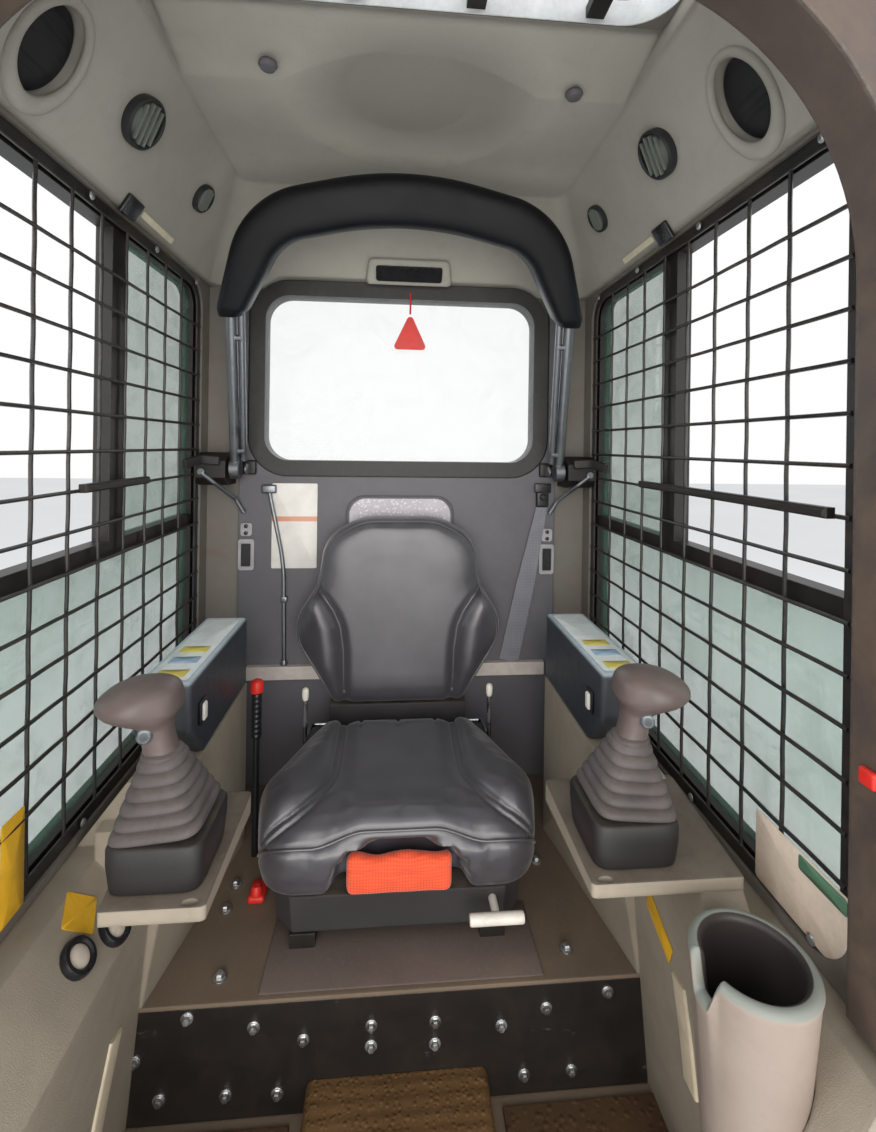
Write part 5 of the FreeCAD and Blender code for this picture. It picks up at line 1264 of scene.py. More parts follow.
def blown_up(piece, voxel, pressure, cap, hold, passes=0):
    """Fills a piece like a cushion: even faces, cloth under pressure, each point's way held under a cap.

    hold gives, for an array of points, the share of that way that each point may go. The ways are then evened
    out with their neighbours' so many times.
    """
    remesh = piece.modifiers.new("even", "REMESH")
    remesh.mode, remesh.voxel_size = "VOXEL", voxel
    baked(piece)
    start = coordinates(piece.data)
    cloth = piece.modifiers.new("cloth", "CLOTH")
    settings = cloth.settings
    settings.quality, settings.mass = 4, 0.25
    settings.use_pressure, settings.uniform_pressure_force = True, pressure
    settings.effector_weights.gravity = 0
    settings.tension_stiffness = settings.compression_stiffness = 12
    settings.bending_stiffness = 0.4
    cloth.point_cache.frame_end = 20
    for step in range(1, 21):
        bpy.context.scene.frame_set(step)
    baked(piece)
    bpy.context.scene.frame_set(1)
    way = coordinates(piece.data) - start
    far = np.linalg.norm(way, axis=1, keepdims=True)
    way *= np.minimum(1, cap / np.maximum(far, 1e-9)) * hold(start)[:, None]
    move_points(piece, start + evened(piece.data, way, passes))
    smooth = piece.modifiers.new("smooth", "SUBSURF")
    smooth.levels = smooth.render_levels = 1
    baked(piece)


def grooved(piece, lines, depth, width):
    """Presses seams into a piece: a point sinks along its normal by a bell curve of its distance to a line."""
    points = coordinates(piece.data)
    normals = np.empty(points.size)
    piece.data.vertex_normals.foreach_get("vector", normals)
    sink = np.zeros(len(points))
    for line in lines:
        line = resampled(line, 160)
        low, high = line.min(0) - 4 * width, line.max(0) + 4 * width
        near = np.flatnonzero(((points > low) & (points < high)).all(1))
        apart = np.linalg.norm(points[near, None] - line[None], axis=2).min(1)
        sink[near] = np.maximum(sink[near], np.exp(-(apart / width) ** 2))
    move_points(piece, points - normals.reshape(-1, 3) * (sink * depth)[:, None])


def on_skin(piece, points, toward):
    """Points carried along a direction onto a piece's surface."""
    tree = BVHTree.FromPolygons(coordinates(piece.data).tolist(), [face.vertices[:] for face in piece.data.polygons])
    toward = Vector(toward)
    hits = [tree.ray_cast(Vector(point) - toward * 0.2, toward)[0] or Vector(point) for point in points]
    return np.array(hits)


def plan_loop(corners, radii, count):
    """A loop that is the same on both sides of X = 0: half of its corners, rounded, and their mirror image."""
    corners = np.asarray(corners, float)
    path = smooth_path(corners, radii, 0.003)
    path = np.vstack([path, path[-2:0:-1] * (-1, 1, 1)])
    return resampled(path, count, True)


def seam_line(aside=0.0):
    """The cushion's right seam seen from above: straight from the rear, then round and out to the side in front."""
    corners = np.array([(0.114, 0.330, 0), (0.112, 0.085, 0), (0.160, 0.014, 0), (0.262, -0.002, 0)], float)
    path = resampled(smooth_path(corners, [0.14, 0.10], 0.003), 120)[:, :2]
    along = unit(np.gradient(path, axis=0))
    return path + aside * np.stack([-along[:, 1], along[:, 0]], -1)


class CAB_OT_cushion(bpy.types.Operator):
    """Make the seat cushion: its plan loop shrunk and lifted in steps over a rolled front, then filled.

    Shares of the way to the middle and heights come from a table. The nose falls by a square towards the
    front, and half an oval is pressed out under it. Filled, a bell curve of the distance to the seams presses
    the fold along them, and its complement raises the side lobes.
    """
    bl_idname = "cab.cushion"
    bl_label = "Seat cushion"

    def execute(self, context):
        low, high = BOX["seat_cushion"]
        loop = plan_loop([(0, low[1] + 0.003, 0), (0.216, low[1] + 0.003, 0), (0.2405, 0.087, 0),
                          (0.163, high[1] - 0.004, 0), (0, high[1] - 0.004, 0)], [0.055, 0.07, 0.03], 240)
        table = np.array([(0.0, 0.003), (0.5, 0.003), (0.84, 0.003), (0.935, 0.007), (0.975, 0.016), (1.0, 0.036),
                          (1.0, 0.060), (0.998, 0.082), (0.985, 0.100), (0.955, 0.114), (0.90, 0.1225), (0.8, 0.126),
                          (0.6, 0.126), (0.4, 0.125), (0.2, 0.125), (0.0, 0.125)])
        middle = np.array([0, 0.150, 0])
        points = middle + (loop - middle)[None] * table[:, None, :1]
        points[..., 2] = low[2] + table[:, 1:]
        x, y, z = points[..., 0], points[..., 1], points[..., 2]
        upper = ease((z - low[2] - 0.06) / 0.05)
        outward = ease((np.abs(x) - 0.055) / 0.085)
        z -= upper * np.clip((0.055 - y) / 0.078, 0, 1) ** 2 * (0.009 + 0.027 * outward)
        arch = 0.030 + 0.056 * np.clip(1 - (np.abs(x) / 0.106) ** 3, 0, 1) ** 0.6
        under = ease((low[2] + arch - z) / 0.010) * ease((0.114 - np.abs(x)) / 0.012) * (y < 0.03)
        y += under * np.maximum(0.034 - y, 0)
        piece = made("cushion", sheet_form(points, False, True), finish_of("vinyl"), "seat")
        standing_for(piece, "seat_cushion")

        def hold(at):
            bottom = ease((at[:, 2] - low[2] - 0.004) / 0.03)
            hollow = 1 - ease((0.052 - at[:, 1]) / 0.01) * ease((low[2] + 0.088 - at[:, 2]) / 0.02) * ease(
                (0.155 - np.abs(at[:, 0])) / 0.035)
            sides = 1 - 0.75 * ease((np.abs(at[:, 0]) - 0.19) / 0.05)
            back = ease((high[1] - 0.002 - at[:, 1]) / 0.03)
            return bottom * hollow * sides * back

        blown_up(piece, 0.0048, 4.0, 0.005, hold)
        at = coordinates(piece.data)
        line = seam_line()
        flat = np.column_stack([np.abs(at[:, 0]), at[:, 1]])
        apart = np.concatenate([np.linalg.norm(part[:, None] - line[None], axis=2).min(1)
                                for part in np.array_split(flat, 40)])
        inside = np.interp(flat[:, 0], line[:, 0], line[:, 1], left=1.0) > flat[:, 1]
        inside |= flat[:, 0] < 0.112
        upper = ease((at[:, 2] - low[2] - 0.070) / 0.035)
        lobe = np.where(inside, 0.0, 1 - np.exp(-(apart / 0.022) ** 2)) * ease((0.33 - at[:, 1]) / 0.12)
        valley = np.exp(-(apart / np.where(inside, 0.020, 0.010)) ** 2)
        at[:, 2] += upper * (0.010 * lobe - 0.008 * valley - 0.002)
        move_points(piece, at)
        share = np.linspace(0, 1, 70)
        seams = []
        for sign in (-1, 1):
            for aside in (-0.0045, 0.0045):
                path = seam_line(aside)
                path = path[path[:, 0] < 0.234] * (sign, 1)
                seams.append(on_skin(piece, np.column_stack([path, np.full(len(path), 0.43)]), (0, 0, -1)))
        for x in (-0.078, 0.0, 0.078):
            short = np.column_stack([np.full(70, x), 0.316 - share * 0.060, np.full(70, 0.43)])
            seams.append(on_skin(piece, short, (0, 0, -1)))
        grooved(piece, seams, 0.0040, 0.0032)
        nose = np.column_stack([(share - 0.5) * 0.452, np.full(70, -0.012), np.full(70, 0.376)])
        nose[:, 2] -= 0.024 * ease((np.abs(nose[:, 0]) - 0.055) / 0.085)
        edge = on_skin(piece, nose, (0, 0.75, -0.66))
        grooved(piece, [edge + (0, 0.001, 0.001)], 0.002, 0.005)
        cord = tube(resampled(edge, 160), context.scene.cab_sizes.piping * 0.75, 8)
        finished(made("cushion_piping", cord, finish_of("vinyl"), "seat"))
        return {"FINISHED"}


def wing_x(rise):
    """How far from the middle a wing's inner edge runs at each share of the backrest's height."""
    return np.interp(rise, [0, 0.12, 0.30, 0.42, 0.50, 0.57, 0.63, 0.70],
                     [0.116, 0.119, 0.121, 0.128, 0.142, 0.162, 0.186, 0.230])


class CAB_OT_backrest(bpy.types.Operator):
    """Make the backrest: its outline shrunk and pushed forward in steps, with wings, then filled and sewn.

    Depth comes from a table of shares of the way to the middle. A bell curve of the distance to a wing's
    inner edge presses the fold beside it, and a second one swells the wing.
    """
    bl_idname = "cab.backrest"
    bl_label = "Backrest"

    def execute(self, context):
        low, high = BOX["seat_backrest"]
        half, tall = high[0], high[2] - low[2]
        rows = np.array([(0.0, 0.0), (0.60, 0.0), (0.74, 0.14), (1.03, 0.38), (0.77, 0.62), (0.70, 0.88), (0.36, 0.99),
                         (0.0, 0.99)])
        corners = np.column_stack([rows[:, 0] * half, np.zeros(8), low[2] + 0.003 + rows[:, 1] * tall])
        loop = plan_loop(corners, [0.03, 0.09, 0.085, 0.11, 0.085, 0.10], 240)
        table = np.array([(0.0, 0.067), (0.5, 0.067), (0.88, 0.067), (0.965, 0.062), (1.0, 0.048), (1.0, 0.030),
                          (0.988, 0.016), (0.955, 0.008), (0.90, 0.0045), (0.8, 0.003), (0.65, 0.002), (0.5, 0.002),
                          (0.35, 0.002), (0.2, 0.002), (0.0, 0.002)])
        middle = np.array([0, 0, low[2] + tall * 0.45])
        points = middle + (loop - middle)[None] * table[:, None, :1]
        points[..., 1] = low[1] + table[:, 1:]
        piece = made("backrest", sheet_form(points, False, True), finish_of("vinyl"), "seat")
        standing_for(piece, "seat_backrest")

        def hold(at):
            behind = ease((low[1] + 0.058 - at[:, 1]) / 0.02)
            return behind * ease((at[:, 2] - low[2] - 0.002) / 0.03)

        blown_up(piece, 0.0048, 4.0, 0.006, hold, 14)
        at = coordinates(piece.data)
        rise = (at[:, 2] - low[2]) / tall
        beside = np.abs(at[:, 0]) - wing_x(rise)
        front = ease((low[1] + 0.045 - at[:, 1]) / 0.03)
        wing = np.exp(-((beside - 0.038) / 0.026) ** 2) * ease((0.68 - rise) / 0.12) * ease((rise + 0.02) / 0.25)
        fold = np.exp(-(beside / 0.011) ** 2) * ease((0.72 - rise) / 0.08)
        at[:, 1] -= front * (0.012 * wing - 0.010 * fold)
        move_points(piece, at)
        share = np.linspace(0, 1, 80)
        z = low[2] + 0.034 + share * (tall * 0.60)
        seams = []
        for sign in (-1, 1):
            line = np.column_stack([sign * wing_x((z - low[2]) / tall), np.full(80, low[1]), z])
            seams.append(on_skin(piece, line[np.abs(line[:, 0]) < 0.198], (0, 1, 0)))
        grooved(piece, seams, 0.003, 0.0032)
        rim = middle + (loop - middle) * (0.972, 1, 0.972)
        rim = rim[rim[:, 2] > low[2] + 0.04]
        rim = rim[np.argsort(np.arctan2(rim[:, 0], rim[:, 2] - middle[2]))]
        rim[:, 1] = low[1] + 0.006
        skin = BVHTree.FromPolygons(coordinates(piece.data).tolist(), [face.vertices[:] for face in piece.data.polygons])
        rim = np.array([skin.find_nearest(Vector(point))[0] for point in rim])
        rim = np.stack([np.convolve(np.pad(rim[:, axis], 4, "edge"), np.ones(9) / 9, "valid") for axis in range(3)], -1)
        cord = tube(resampled(rim, 320), context.scene.cab_sizes.piping, 8, (0, 1, 0))
        finished(made("backrest_piping", cord, finish_of("vinyl"), "seat"))
        return {"FINISHED"}


class CAB_OT_pouch(bpy.types.Operator):
    """Make the pouch under the cushion's nose: a soft box, filled a little, with a flap seam along its front."""
    bl_idname = "cab.pouch"
    bl_label = "Pouch"

    def execute(self, context):
        low, high = BOX["orange_pouch"]
        piece = made("pouch", soft_box(low + (0.003, 0.010, 0.0015), high - (0.003, 0.002, 0.004), 0.010, 7),
                     finish_of("orange"), "seat")
        standing_for(piece, "orange_pouch")
        blown_up(piece, 0.004, 2.0, 0.002, lambda at: np.ones(len(at)))
        at = coordinates(piece.data)
        at[:, 2] += 0.0030 * np.sin(at[:, 0] * 75 + 0.7) * ease((at[:, 2] - low[2] - 0.015) / 0.03)
        at[:, 1] -= 0.0015 * np.sin(at[:, 0] * 110) * np.sin(at[:, 2] * 160)
        move_points(piece, at)
        share = np.linspace(0, 1, 60)
        flap = np.column_stack([(share - 0.5) * 0.164, np.full(60, low[1]),
                                high[2] - 0.022 - 0.005 * np.sin(share * np.pi)])
        grooved(piece, [on_skin(piece, flap, (0, 1, 0))], 0.0022, 0.003)
        return {"FINISHED"}


def in_plane(across, along, out=0.0):
    """World points of the raised bar's plane: across it, along it from its pivots, and out of it."""
    lean = math.radians(23)
    across, along = np.asarray(across, float), np.asarray(along, float)
    return np.stack([across, 0.374 - along * math.sin(lean) - out * math.cos(lean),
                     0.919 + along * math.cos(lean) - out * math.sin(lean)], -1)


class CAB_OT_bar(bpy.types.Operator):
    """Make the restraint bar's legs: a main tube and a thinner one inboard, bridges and eyes."""
    bl_idname = "cab.bar"
    bl_label = "Restraint bar"

    def execute(self, context):
        sizes = context.scene.cab_sizes
        forms = []
        out = in_plane(0, 0, 1) - in_plane(0, 0)
        for sign in (-1, 1):
            share = np.linspace(0, 1, 24)
            leg = in_plane(sign * (0.366 - 0.0245 * share), 0.004 + share * 0.339)
            forms.append(tube(leg, sizes.tube, 24, out))
            twin = in_plane(sign * (0.346 - 0.0245 * share), 0.022 + share * 0.321)
            forms.append(tube(twin, sizes.twin, 18, out))
            for along in (0.044, 0.292):
                x = 0.366 - 0.0245 * along / 0.339
                ends = in_plane([sign * x, sign * (x - 0.020)], [along, along])
                forms.append(swept(ends, round_corners(0.012, 0.016, 0.004), out))
            eye = [(0.0101, -0.0108), (0.0205, -0.0108), (0.0219, -0.0094), (0.0219, 0.0094), (0.0205, 0.0108),
                   (0.0101, 0.0108)]
            ring = turned(eye, in_plane(sign * 0.366, 0.0), (1, 0, 0), 40)
            forms.append(ring)
        bar = made("bar_tubes", joined(forms), finish_of("grey_metal"), "restraint")
        standing_for(bar, "restraint_bar")
        return {"FINISHED"}


class CAB_OT_foam(bpy.types.Operator):
    """Make the bar's foam pad: superellipse sections between an outer and an inner line, slimmer at the ends.

    Each section's middle and half height come from the two lines; small dents are added along its normals.
    """
    bl_idname = "cab.foam"
    bl_label = "Restraint pad"

    def execute(self, context):
        count = 150
        outer = self.line([(0, 0.619), (0.297, 0.555), (0.370, 0.336)], [0.64, 0.175], count)
        inner = self.line([(0, 0.525), (0.231, 0.475), (0.314, 0.336)], [0.64, 0.095], count)
        middle, half = (outer + inner) / 2, (outer - inner) / 2
        share = np.linspace(-1, 1, count)
        tip = 1 - 0.24 * ease((np.abs(share) - 0.955) / 0.045)
        ring = circle(56)
        ring = np.sign(ring) * np.abs(ring) ** (2 / 3.4)
        flat = middle[:, None] + half[:, None] * ring[None, :, :1] * tip[:, None, None]
        deep = 0.0405 * ring[None, :, 1] * tip[:, None] * (1 - 0.10 * np.abs(share) ** 3)[:, None]
        dent = 0.0011 * np.sin(share[:, None] * 17 + 1.3) * np.sin(np.arctan2(ring[:, 1], ring[:, 0]) * 2 + 0.6)
        points = in_plane(flat[..., 0], flat[..., 1], deep * (1 + dent * 12))
        piece = made("bar_foam", sheet_form(points, False, True, True), finish_of("foam"), "restraint")
        standing_for(piece, "restraint_pad")
        rounds = piece.modifiers.new("smooth", "SUBSURF")
        rounds.levels = rounds.render_levels = 1
        baked(piece)
        return {"FINISHED"}

    @staticmethod
    def line(corners, radii, count):
        """One line of the pad's outline from its left to its right end, in the bar's plane."""
        corners = np.array(corners)
        whole = np.vstack([corners[:0:-1] * (-1, 1), corners])
        whole = np.column_stack([whole, np.zeros(len(whole))])
        path = smooth_path(whole, radii[:0:-1] + [radii[0]] + radii[1:], 0.004)
        return resampled(path, count)[:, :2]


class CAB_OT_pivots(bpy.types.Operator):
    """Make the bar's pivots: cast brackets with a boss, the pin's cap and the gas spring's linkage."""
    bl_idname = "cab.pivots"
    bl_label = "Bar pivots"

    def execute(self, context):
        brackets, links = [], []
        for sign in (-1, 1):
            outline = [(0.4295, 0.883), (0.4295, 0.955), (0.374, 0.955), (0.344, 0.937), (0.344, 0.901), (0.374, 0.883)]
            brackets.append(prism(outline, sign * 0.3801, sign * 0.4445))
            brackets.append(turned([(0.0099, -0.024), (0.0099, 0.005)], (sign * 0.380, 0.374, 0.919), (sign, 0, 0), 24))
            arm = smooth_path([(sign * 0.392, 0.338, 0.938), (sign * 0.425, 0.322, 0.941), (sign * 0.440, 0.275, 0.932)],
                              [0.02])
            brackets.append(swept(arm, round_corners(0.010, 0.020, 0.003), (0, 0, 1)))
            brackets.append(soft_box(np.array([sign * 0.360, 0.405, 0.905]), np.array([sign * 0.330, 0.4155, 0.938]),
                                     0.004, 4))
            run = smooth_path([(sign * 0.428, 0.338, 0.912), (sign * 0.405, 0.352, 0.890), (sign * 0.372, 0.398, 0.850),
                               (sign * 0.356, 0.408, 0.818)], [0.02, 0.02])
            links.append(tube(run, 0.0048, 14, (0, 1, 0)))
            links.append(turned([(0.0075, -0.004), (0.0085, 0.0), (0.0075, 0.005)], (sign * 0.428, 0.341, 0.914),
                                (0, -1, 0), 24))
            links.append(turned([(0.0125, 0), (0.0125, 0.003), (0.009, 0.0055), (0.003, 0.0062)],
                                (sign * 0.3438, 0.374, 0.919), (-sign, 0, 0), 28))
        body = made("pivot_brackets", joined(brackets), finish_of("black_metal"), bevel=0.0025)
        standing_for(body, "restraint_pivots")
        finished(made("pivot_links", joined(links), finish_of("grey_metal")))
        return {"FINISHED"}


class CAB_OT_seat_fittings(bpy.types.Operator):
    """Make the seat's hard fittings: slide handle and bent recline levers with knobs."""
    bl_idname = "cab.seat_fittings"
    bl_label = "Seat fittings"

    def execute(self, context):
        low, high = BOX["slide_handle"]
        x, r = (low[0] + high[0]) / 2, 0.009
        y, z = low[1] + r, low[2] + r
        share = np.linspace(-1, 1, 33)
        grip = tube(np.column_stack([x + share * 0.042, np.full(33, y), np.full(33, z)]), 0.0086, 18,
                    scale=np.clip(1.25 - np.abs(share) ** 12 * 0.5 - 0.12 * np.cos(share * 3.1), 0.3, 1.0))
        stem = tube([(x, y + 0.004, z), (x, -0.028, z), (x, high[1], z)], 0.0066, 14)
        handle = made("slide_grip", joined([grip, stem]), finish_of("white"), "seat")
        standing_for(handle, "slide_handle")
        rods, knobs = [], []
        for sign in (-1, 1):
            path = smooth_path([(sign * 0.151, 0.377, 0.346), (sign * 0.194, 0.377, 0.346),
                                (sign * 0.194, 0.289, 0.346), (sign * 0.194, 0.289, 0.455)], [0.012, 0.014], 0.002)
            rods.append(tube(path, 0.0047, 14, (0.1, 0.2, 1)))
            knobs.append(turned([(0.005, 0.0), (0.0068, 0.006), (0.0072, 0.018), (0.0055, 0.024), (0.002, 0.0262)],
                                (sign * 0.194, 0.289, 0.442), (0, 0, 1), 22))
        levers = made("recline_rods", joined(rods), bare_metal("plated", linear((176, 178, 182)), 0.2), "seat")
        standing_for(levers, "recline_levers")
        finished(made("recline_knobs", joined(knobs), finish_of("white"), "seat"))
        return {"FINISHED"}


class CAB_OT_hip(bpy.types.Operator):
    """Make the hand lever beside the seat: a slim post, a ribbed dark grip and a red cap with arc edges."""
    bl_idname = "cab.hip"
    bl_label = "Hand lever"

    def execute(self, context):
        foot = np.array([-0.272, 0.200, 0.1903])
        post = [tube([foot, foot + (0, 0, 0.15), foot + (0, 0, 0.311)], 0.0062, 16, (0, 1, 0))]
        share = np.linspace(0, 1, 60)
        ribs = 0.0086 + 0.0011 * np.abs(np.sin(share * np.pi * 9))
        post.append(turned(np.column_stack([ribs, share * 0.085]), foot + (0, 0, 0.224), sides=24))
        standing_for(made("hip_post", joined(post), finish_of("lamp")), "hip_lever")
        cap = turned([(0.008, 0.309), (0.0120, 0.312), (0.0129, 0.318), (0.0129, 0.326), (0.0105, 0.3325),
                      (0.005, 0.3355)], foot, sides=32)
        finished(made("hip_cap", cap, finish_of("red")))
        return {"FINISHED"}


# Small pieces on the trims and panels

class CAB_OT_bolts(bpy.types.Operator):
    """Make the bolts of the bulkhead, the deck and the screens: a washer and a hexagon, repeated."""
    bl_idname = "cab.bolts"
    bl_label = "Bolts"

    def execute(self, context):
        form = bolt_form(context.scene.cab_sizes.bolt)
        face = BOX["bulkhead"][0][1]
        spots = np.array([(-295, 172), (-204, 153), (-135, 130), (-39, 143), (-39, 114), (53, 142), (53, 110),
                          (150, 129), (217, 150), (310, 167), (388, 106), (-365, 117), (-331, 61), (-241, 60),
                          (-170, 57), (185, 54), (256, 55)]) / 1000
        front = np.column_stack([spots[:, 0], np.full(len(spots), face), spots[:, 1]])
        plated = bare_metal("bolt_plate", linear((190, 192, 194)), 0.3)
        finished(made("bulkhead_bolts", spread(form, front, (0, -1, 0)), plated))
        deck = np.array([(-0.320, 0.172, 0.190), (-0.287, 0.131, 0.190), (-0.289, 0.079, 0.190), (0.262, 0.150, 0.190),
                         (0.262, -0.030, 0.190), (-0.262, -0.040, 0.190)])
        finished(made("deck_bolts", spread(form, deck, (0, 0, 1), 1.15), plated))
        screws = []
        for sign in (-1, 1):
            for y in (-0.30, -0.06, 0.15, 0.345):
                for z in (0.440, 1.321):
                    screws.append((sign * 0.4459, y, z))
        rims = np.array(screws)
        small = turned([(0.006, 0), (0.006, 0.0012), (0.0045, 0.0028), (0.0015, 0.0033)], (0, 0, 0), sides=16)
        left, right = rims[rims[:, 0] < 0], rims[rims[:, 0] > 0]
        heads = joined([spread(small, left, (1, 0, 0)), spread(small, right, (-1, 0, 0))])
        finished(made("screen_screws", heads, plated))
        return {"FINISHED"}


class CAB_OT_mats(bpy.types.Operator):
    """Make the ribbed step and the floor mats: ribs as a rounded wave across a soft-edged sheet."""
    bl_idname = "cab.mats"
    bl_label = "Step and mats"

    def execute(self, context):
        low, high = BOX["centre_step"]
        share = np.linspace(0, 1, 121)
        wave = 0.0004 * np.clip(np.sin(share * np.pi * 40) * 1.6, -1, 1)
        half = (high[0] - low[0]) / 2
        profile = np.array([(-half, 0.0003), (-half, 0.036), (-half + 0.003, 0.043), (-half + 0.010, 0.0465),
                            (half - 0.010, 0.0465), (half - 0.003, 0.043), (half, 0.036), (half, 0.0003)])
        across = resampled(np.column_stack([profile, np.zeros(8)]), 90)[:, :2]
        y = low[1] + 0.0005 + share * (high[1] - low[1] - 0.001)
        top = ease((across[:, 1] - 0.040) / 0.006)
        lift = across[None, :, 1] + wave[:, None] * top[None]
        points = np.stack([np.broadcast_to(across[None, :, 0], lift.shape), np.broadcast_to(y[:, None], lift.shape),
                           low[2] + lift], -1)
        step = made("step_mat", sheet_form(points, False, True, True), finish_of("mat"))
        standing_for(step, "centre_step")
        mats = []
        for sign in (-1, 1):
            mats.append(soft_box(np.array([sign * 0.150, -0.450, 0.0251]), np.array([sign * 0.436, -0.092, 0.0305]),
                                 0.0024, 3))
        finished(made("foot_mats", joined(mats), walked("mat_dust", linear((84, 62, 44)), (134, 102, 68), 90)))
        return {"FINISHED"}


class CAB_OT_panels(bpy.types.Operator):
    """Make the thin covers: the deck's panel and the cream wear strips on the trims, with a red door latch, a red deck
    catch and a dark box by the floor.
    """
    bl_idname = "cab.panels"
    bl_label = "Panels and strips"

    def execute(self, context):
        panel = soft_box(np.array([-0.200, -0.070, 0.1902]), np.array([0.215, 0.060, 0.1925]), 0.001, 3)
        finished(made("deck_panel", panel, walked("panel_dust", linear((104, 93, 88)))))
        cream = enamel("cream_edge", linear((206, 192, 166)), 0.45)
        paths = (((-0.3560, -0.150, 0.2330), (-0.3615, -0.172, 0.1700), (-0.3650, -0.185, 0.1250)),
                 ((0.3490, -0.205, 0.3080), (0.3545, -0.214, 0.2450), (0.3600, -0.217, 0.1850)))
        strips = [swept(smooth_path(path, [0.05]), round_corners(0.030, 0.007, 0.003), (np.sign(path[0][0]), 0, 0))
                  for path in paths]
        finished(made("wear_strips", joined(strips), cream))
        clip = soft_box(np.array([0.4165, -0.404, 0.668]), np.array([0.4239, -0.386, 0.684]), 0.003, 5)
        finished(made("door_latch", clip, finish_of("red")))
        knob = [soft_box(np.array([-0.256, 0.084, 0.1905]), np.array([-0.228, 0.128, 0.203]), 0.005, 5),
                turned([(0.009, 0.0), (0.009, 0.012), (0.006, 0.016)], (-0.242, 0.092, 0.2025), sides=24)]
        finished(made("deck_catch", joined(knob), finish_of("red")))
        box = soft_box(np.array([0.330, -0.262, 0.1902 - 0.165]), np.array([0.362, -0.195, 0.078]), 0.006, 5)
        finished(made("floor_box", box, finish_of("lamp")))
        return {"FINISHED"}


class CAB_OT_outside(bpy.types.Operator):
    """Make the outside's trim: corner posts, a gutter round the roof, ribs, a roof panel and a rear cover.

    A post is an L with an arc at its corner, stacked in Z; the gutter is a rounded bar carried round the roof.
    """
    bl_idname = "cab.outside"
    bl_label = "Outside trim"

    def execute(self, context):
        low, high = BOX["roof"]
        steel, plated = finish_of("shell_paint"), bare_metal("cover_bolts", linear((170, 170, 170)), 0.35)
        turn = np.linspace(np.pi / 2, 0, 9)
        arc = 0.010 * np.stack([np.cos(turn), np.sin(turn)], -1) - 0.007
        bend = np.vstack([[(-0.048, 0.0004), (-0.048, 0.0024)], arc, [(0.0024, -0.048), (0.0004, -0.048),
                                                                    (0.0004, 0.0004)]])
        levels = np.array([0.012, 0.014, high[2] - 0.030, high[2] - 0.028])
        posts = [lofted(np.repeat((bend * (sign, 1))[None], 4, 0), levels, (sign * high[0], high[1], 0),
                        turn=np.eye(3)) for sign in (-1, 1)]
        middle, size = (low + high) / 2, high - low
        loop = round_corners(size[0] + 0.0084, size[1] + 0.0084, 0.012, 7)
        gutter = swept(np.column_stack([loop + middle[:2], np.full(len(loop), high[2] - 0.018)]),
                       round_corners(0.008, 0.022, 0.0035), (0, 0, 1), True)
        ribs = [soft_box(np.array([sign * 0.4902, -0.36, z - 0.011]), np.array([sign * 0.4940, 0.40, z + 0.011]),
                         0.0036, 5) for sign in (-1, 1) for z in (0.16, 0.24, 0.32)]
        top = [soft_box(np.array([-0.40, -0.100, high[2] + 0.0002]), np.array([0.40, 0.420, high[2] + 0.0034]),
                        0.0030, 5)]
        top += [soft_box(np.array([x - 0.010, -0.07, high[2] + 0.0035]), np.array([x + 0.010, 0.39, high[2] + 0.0065]),
                         0.0028, 5) for x in (-0.24, 0.0, 0.24)]
        form = joined(posts + [gutter] + ribs + top)
        finished(made("outside_trim", form, steel))
        cover = [tag_form((0, high[1] + 0.0004, 0.46), (-1, 0, 0), (0, 0, 1), 0.62, 0.50, 0.035, 0.003)]
        wedge = np.array([(0.0036, 0.0), (0.0120, 0.0015), (0.0112, 0.0045), (0.0036, 0.024)])
        cover += [prism(wedge + (high[1], z), -0.20, 0.20) for z in np.linspace(0.36, 0.54, 7)]
        finished(made("rear_cover", joined(cover), steel, bevel=0.0006))
        spots = [(x, z) for x in (-0.285, 0.285) for z in (0.26, 0.393, 0.527, 0.66)]
        spots += [(x, z) for x in (-0.10, 0.10) for z in (0.235, 0.685)]
        spots = np.array([(x, high[1] + 0.0036, z) for x, z in spots])
        corners = np.array([(x, y, high[2] + 0.0002) for x in (-0.445, 0.445) for y in (-0.385, 0.02, 0.435)])
        bolt = bolt_form(context.scene.cab_sizes.bolt)
        heads = joined([spread(bolt, spots, (0, 1, 0)), spread(bolt, corners, (0, 0, 1))])
        finished(made("outside_bolts", heads, plated))
        low, high = BOX["roof_glass"]
        loop = round_corners(high[0] - low[0] + 0.020, high[1] - low[1] + 0.020, 0.070, 12)
        loop = np.column_stack([loop + (low[:2] + high[:2]) / 2, np.full(len(loop), BOX["roof"][1][2] + 0.0034)])
        rim = swept(loop, round_corners(0.018, 0.0062, 0.0026), (0, 0, 1), True)
        finished(made("roof_seal", rim, finish_of("seal")))
        return {"FINISHED"}


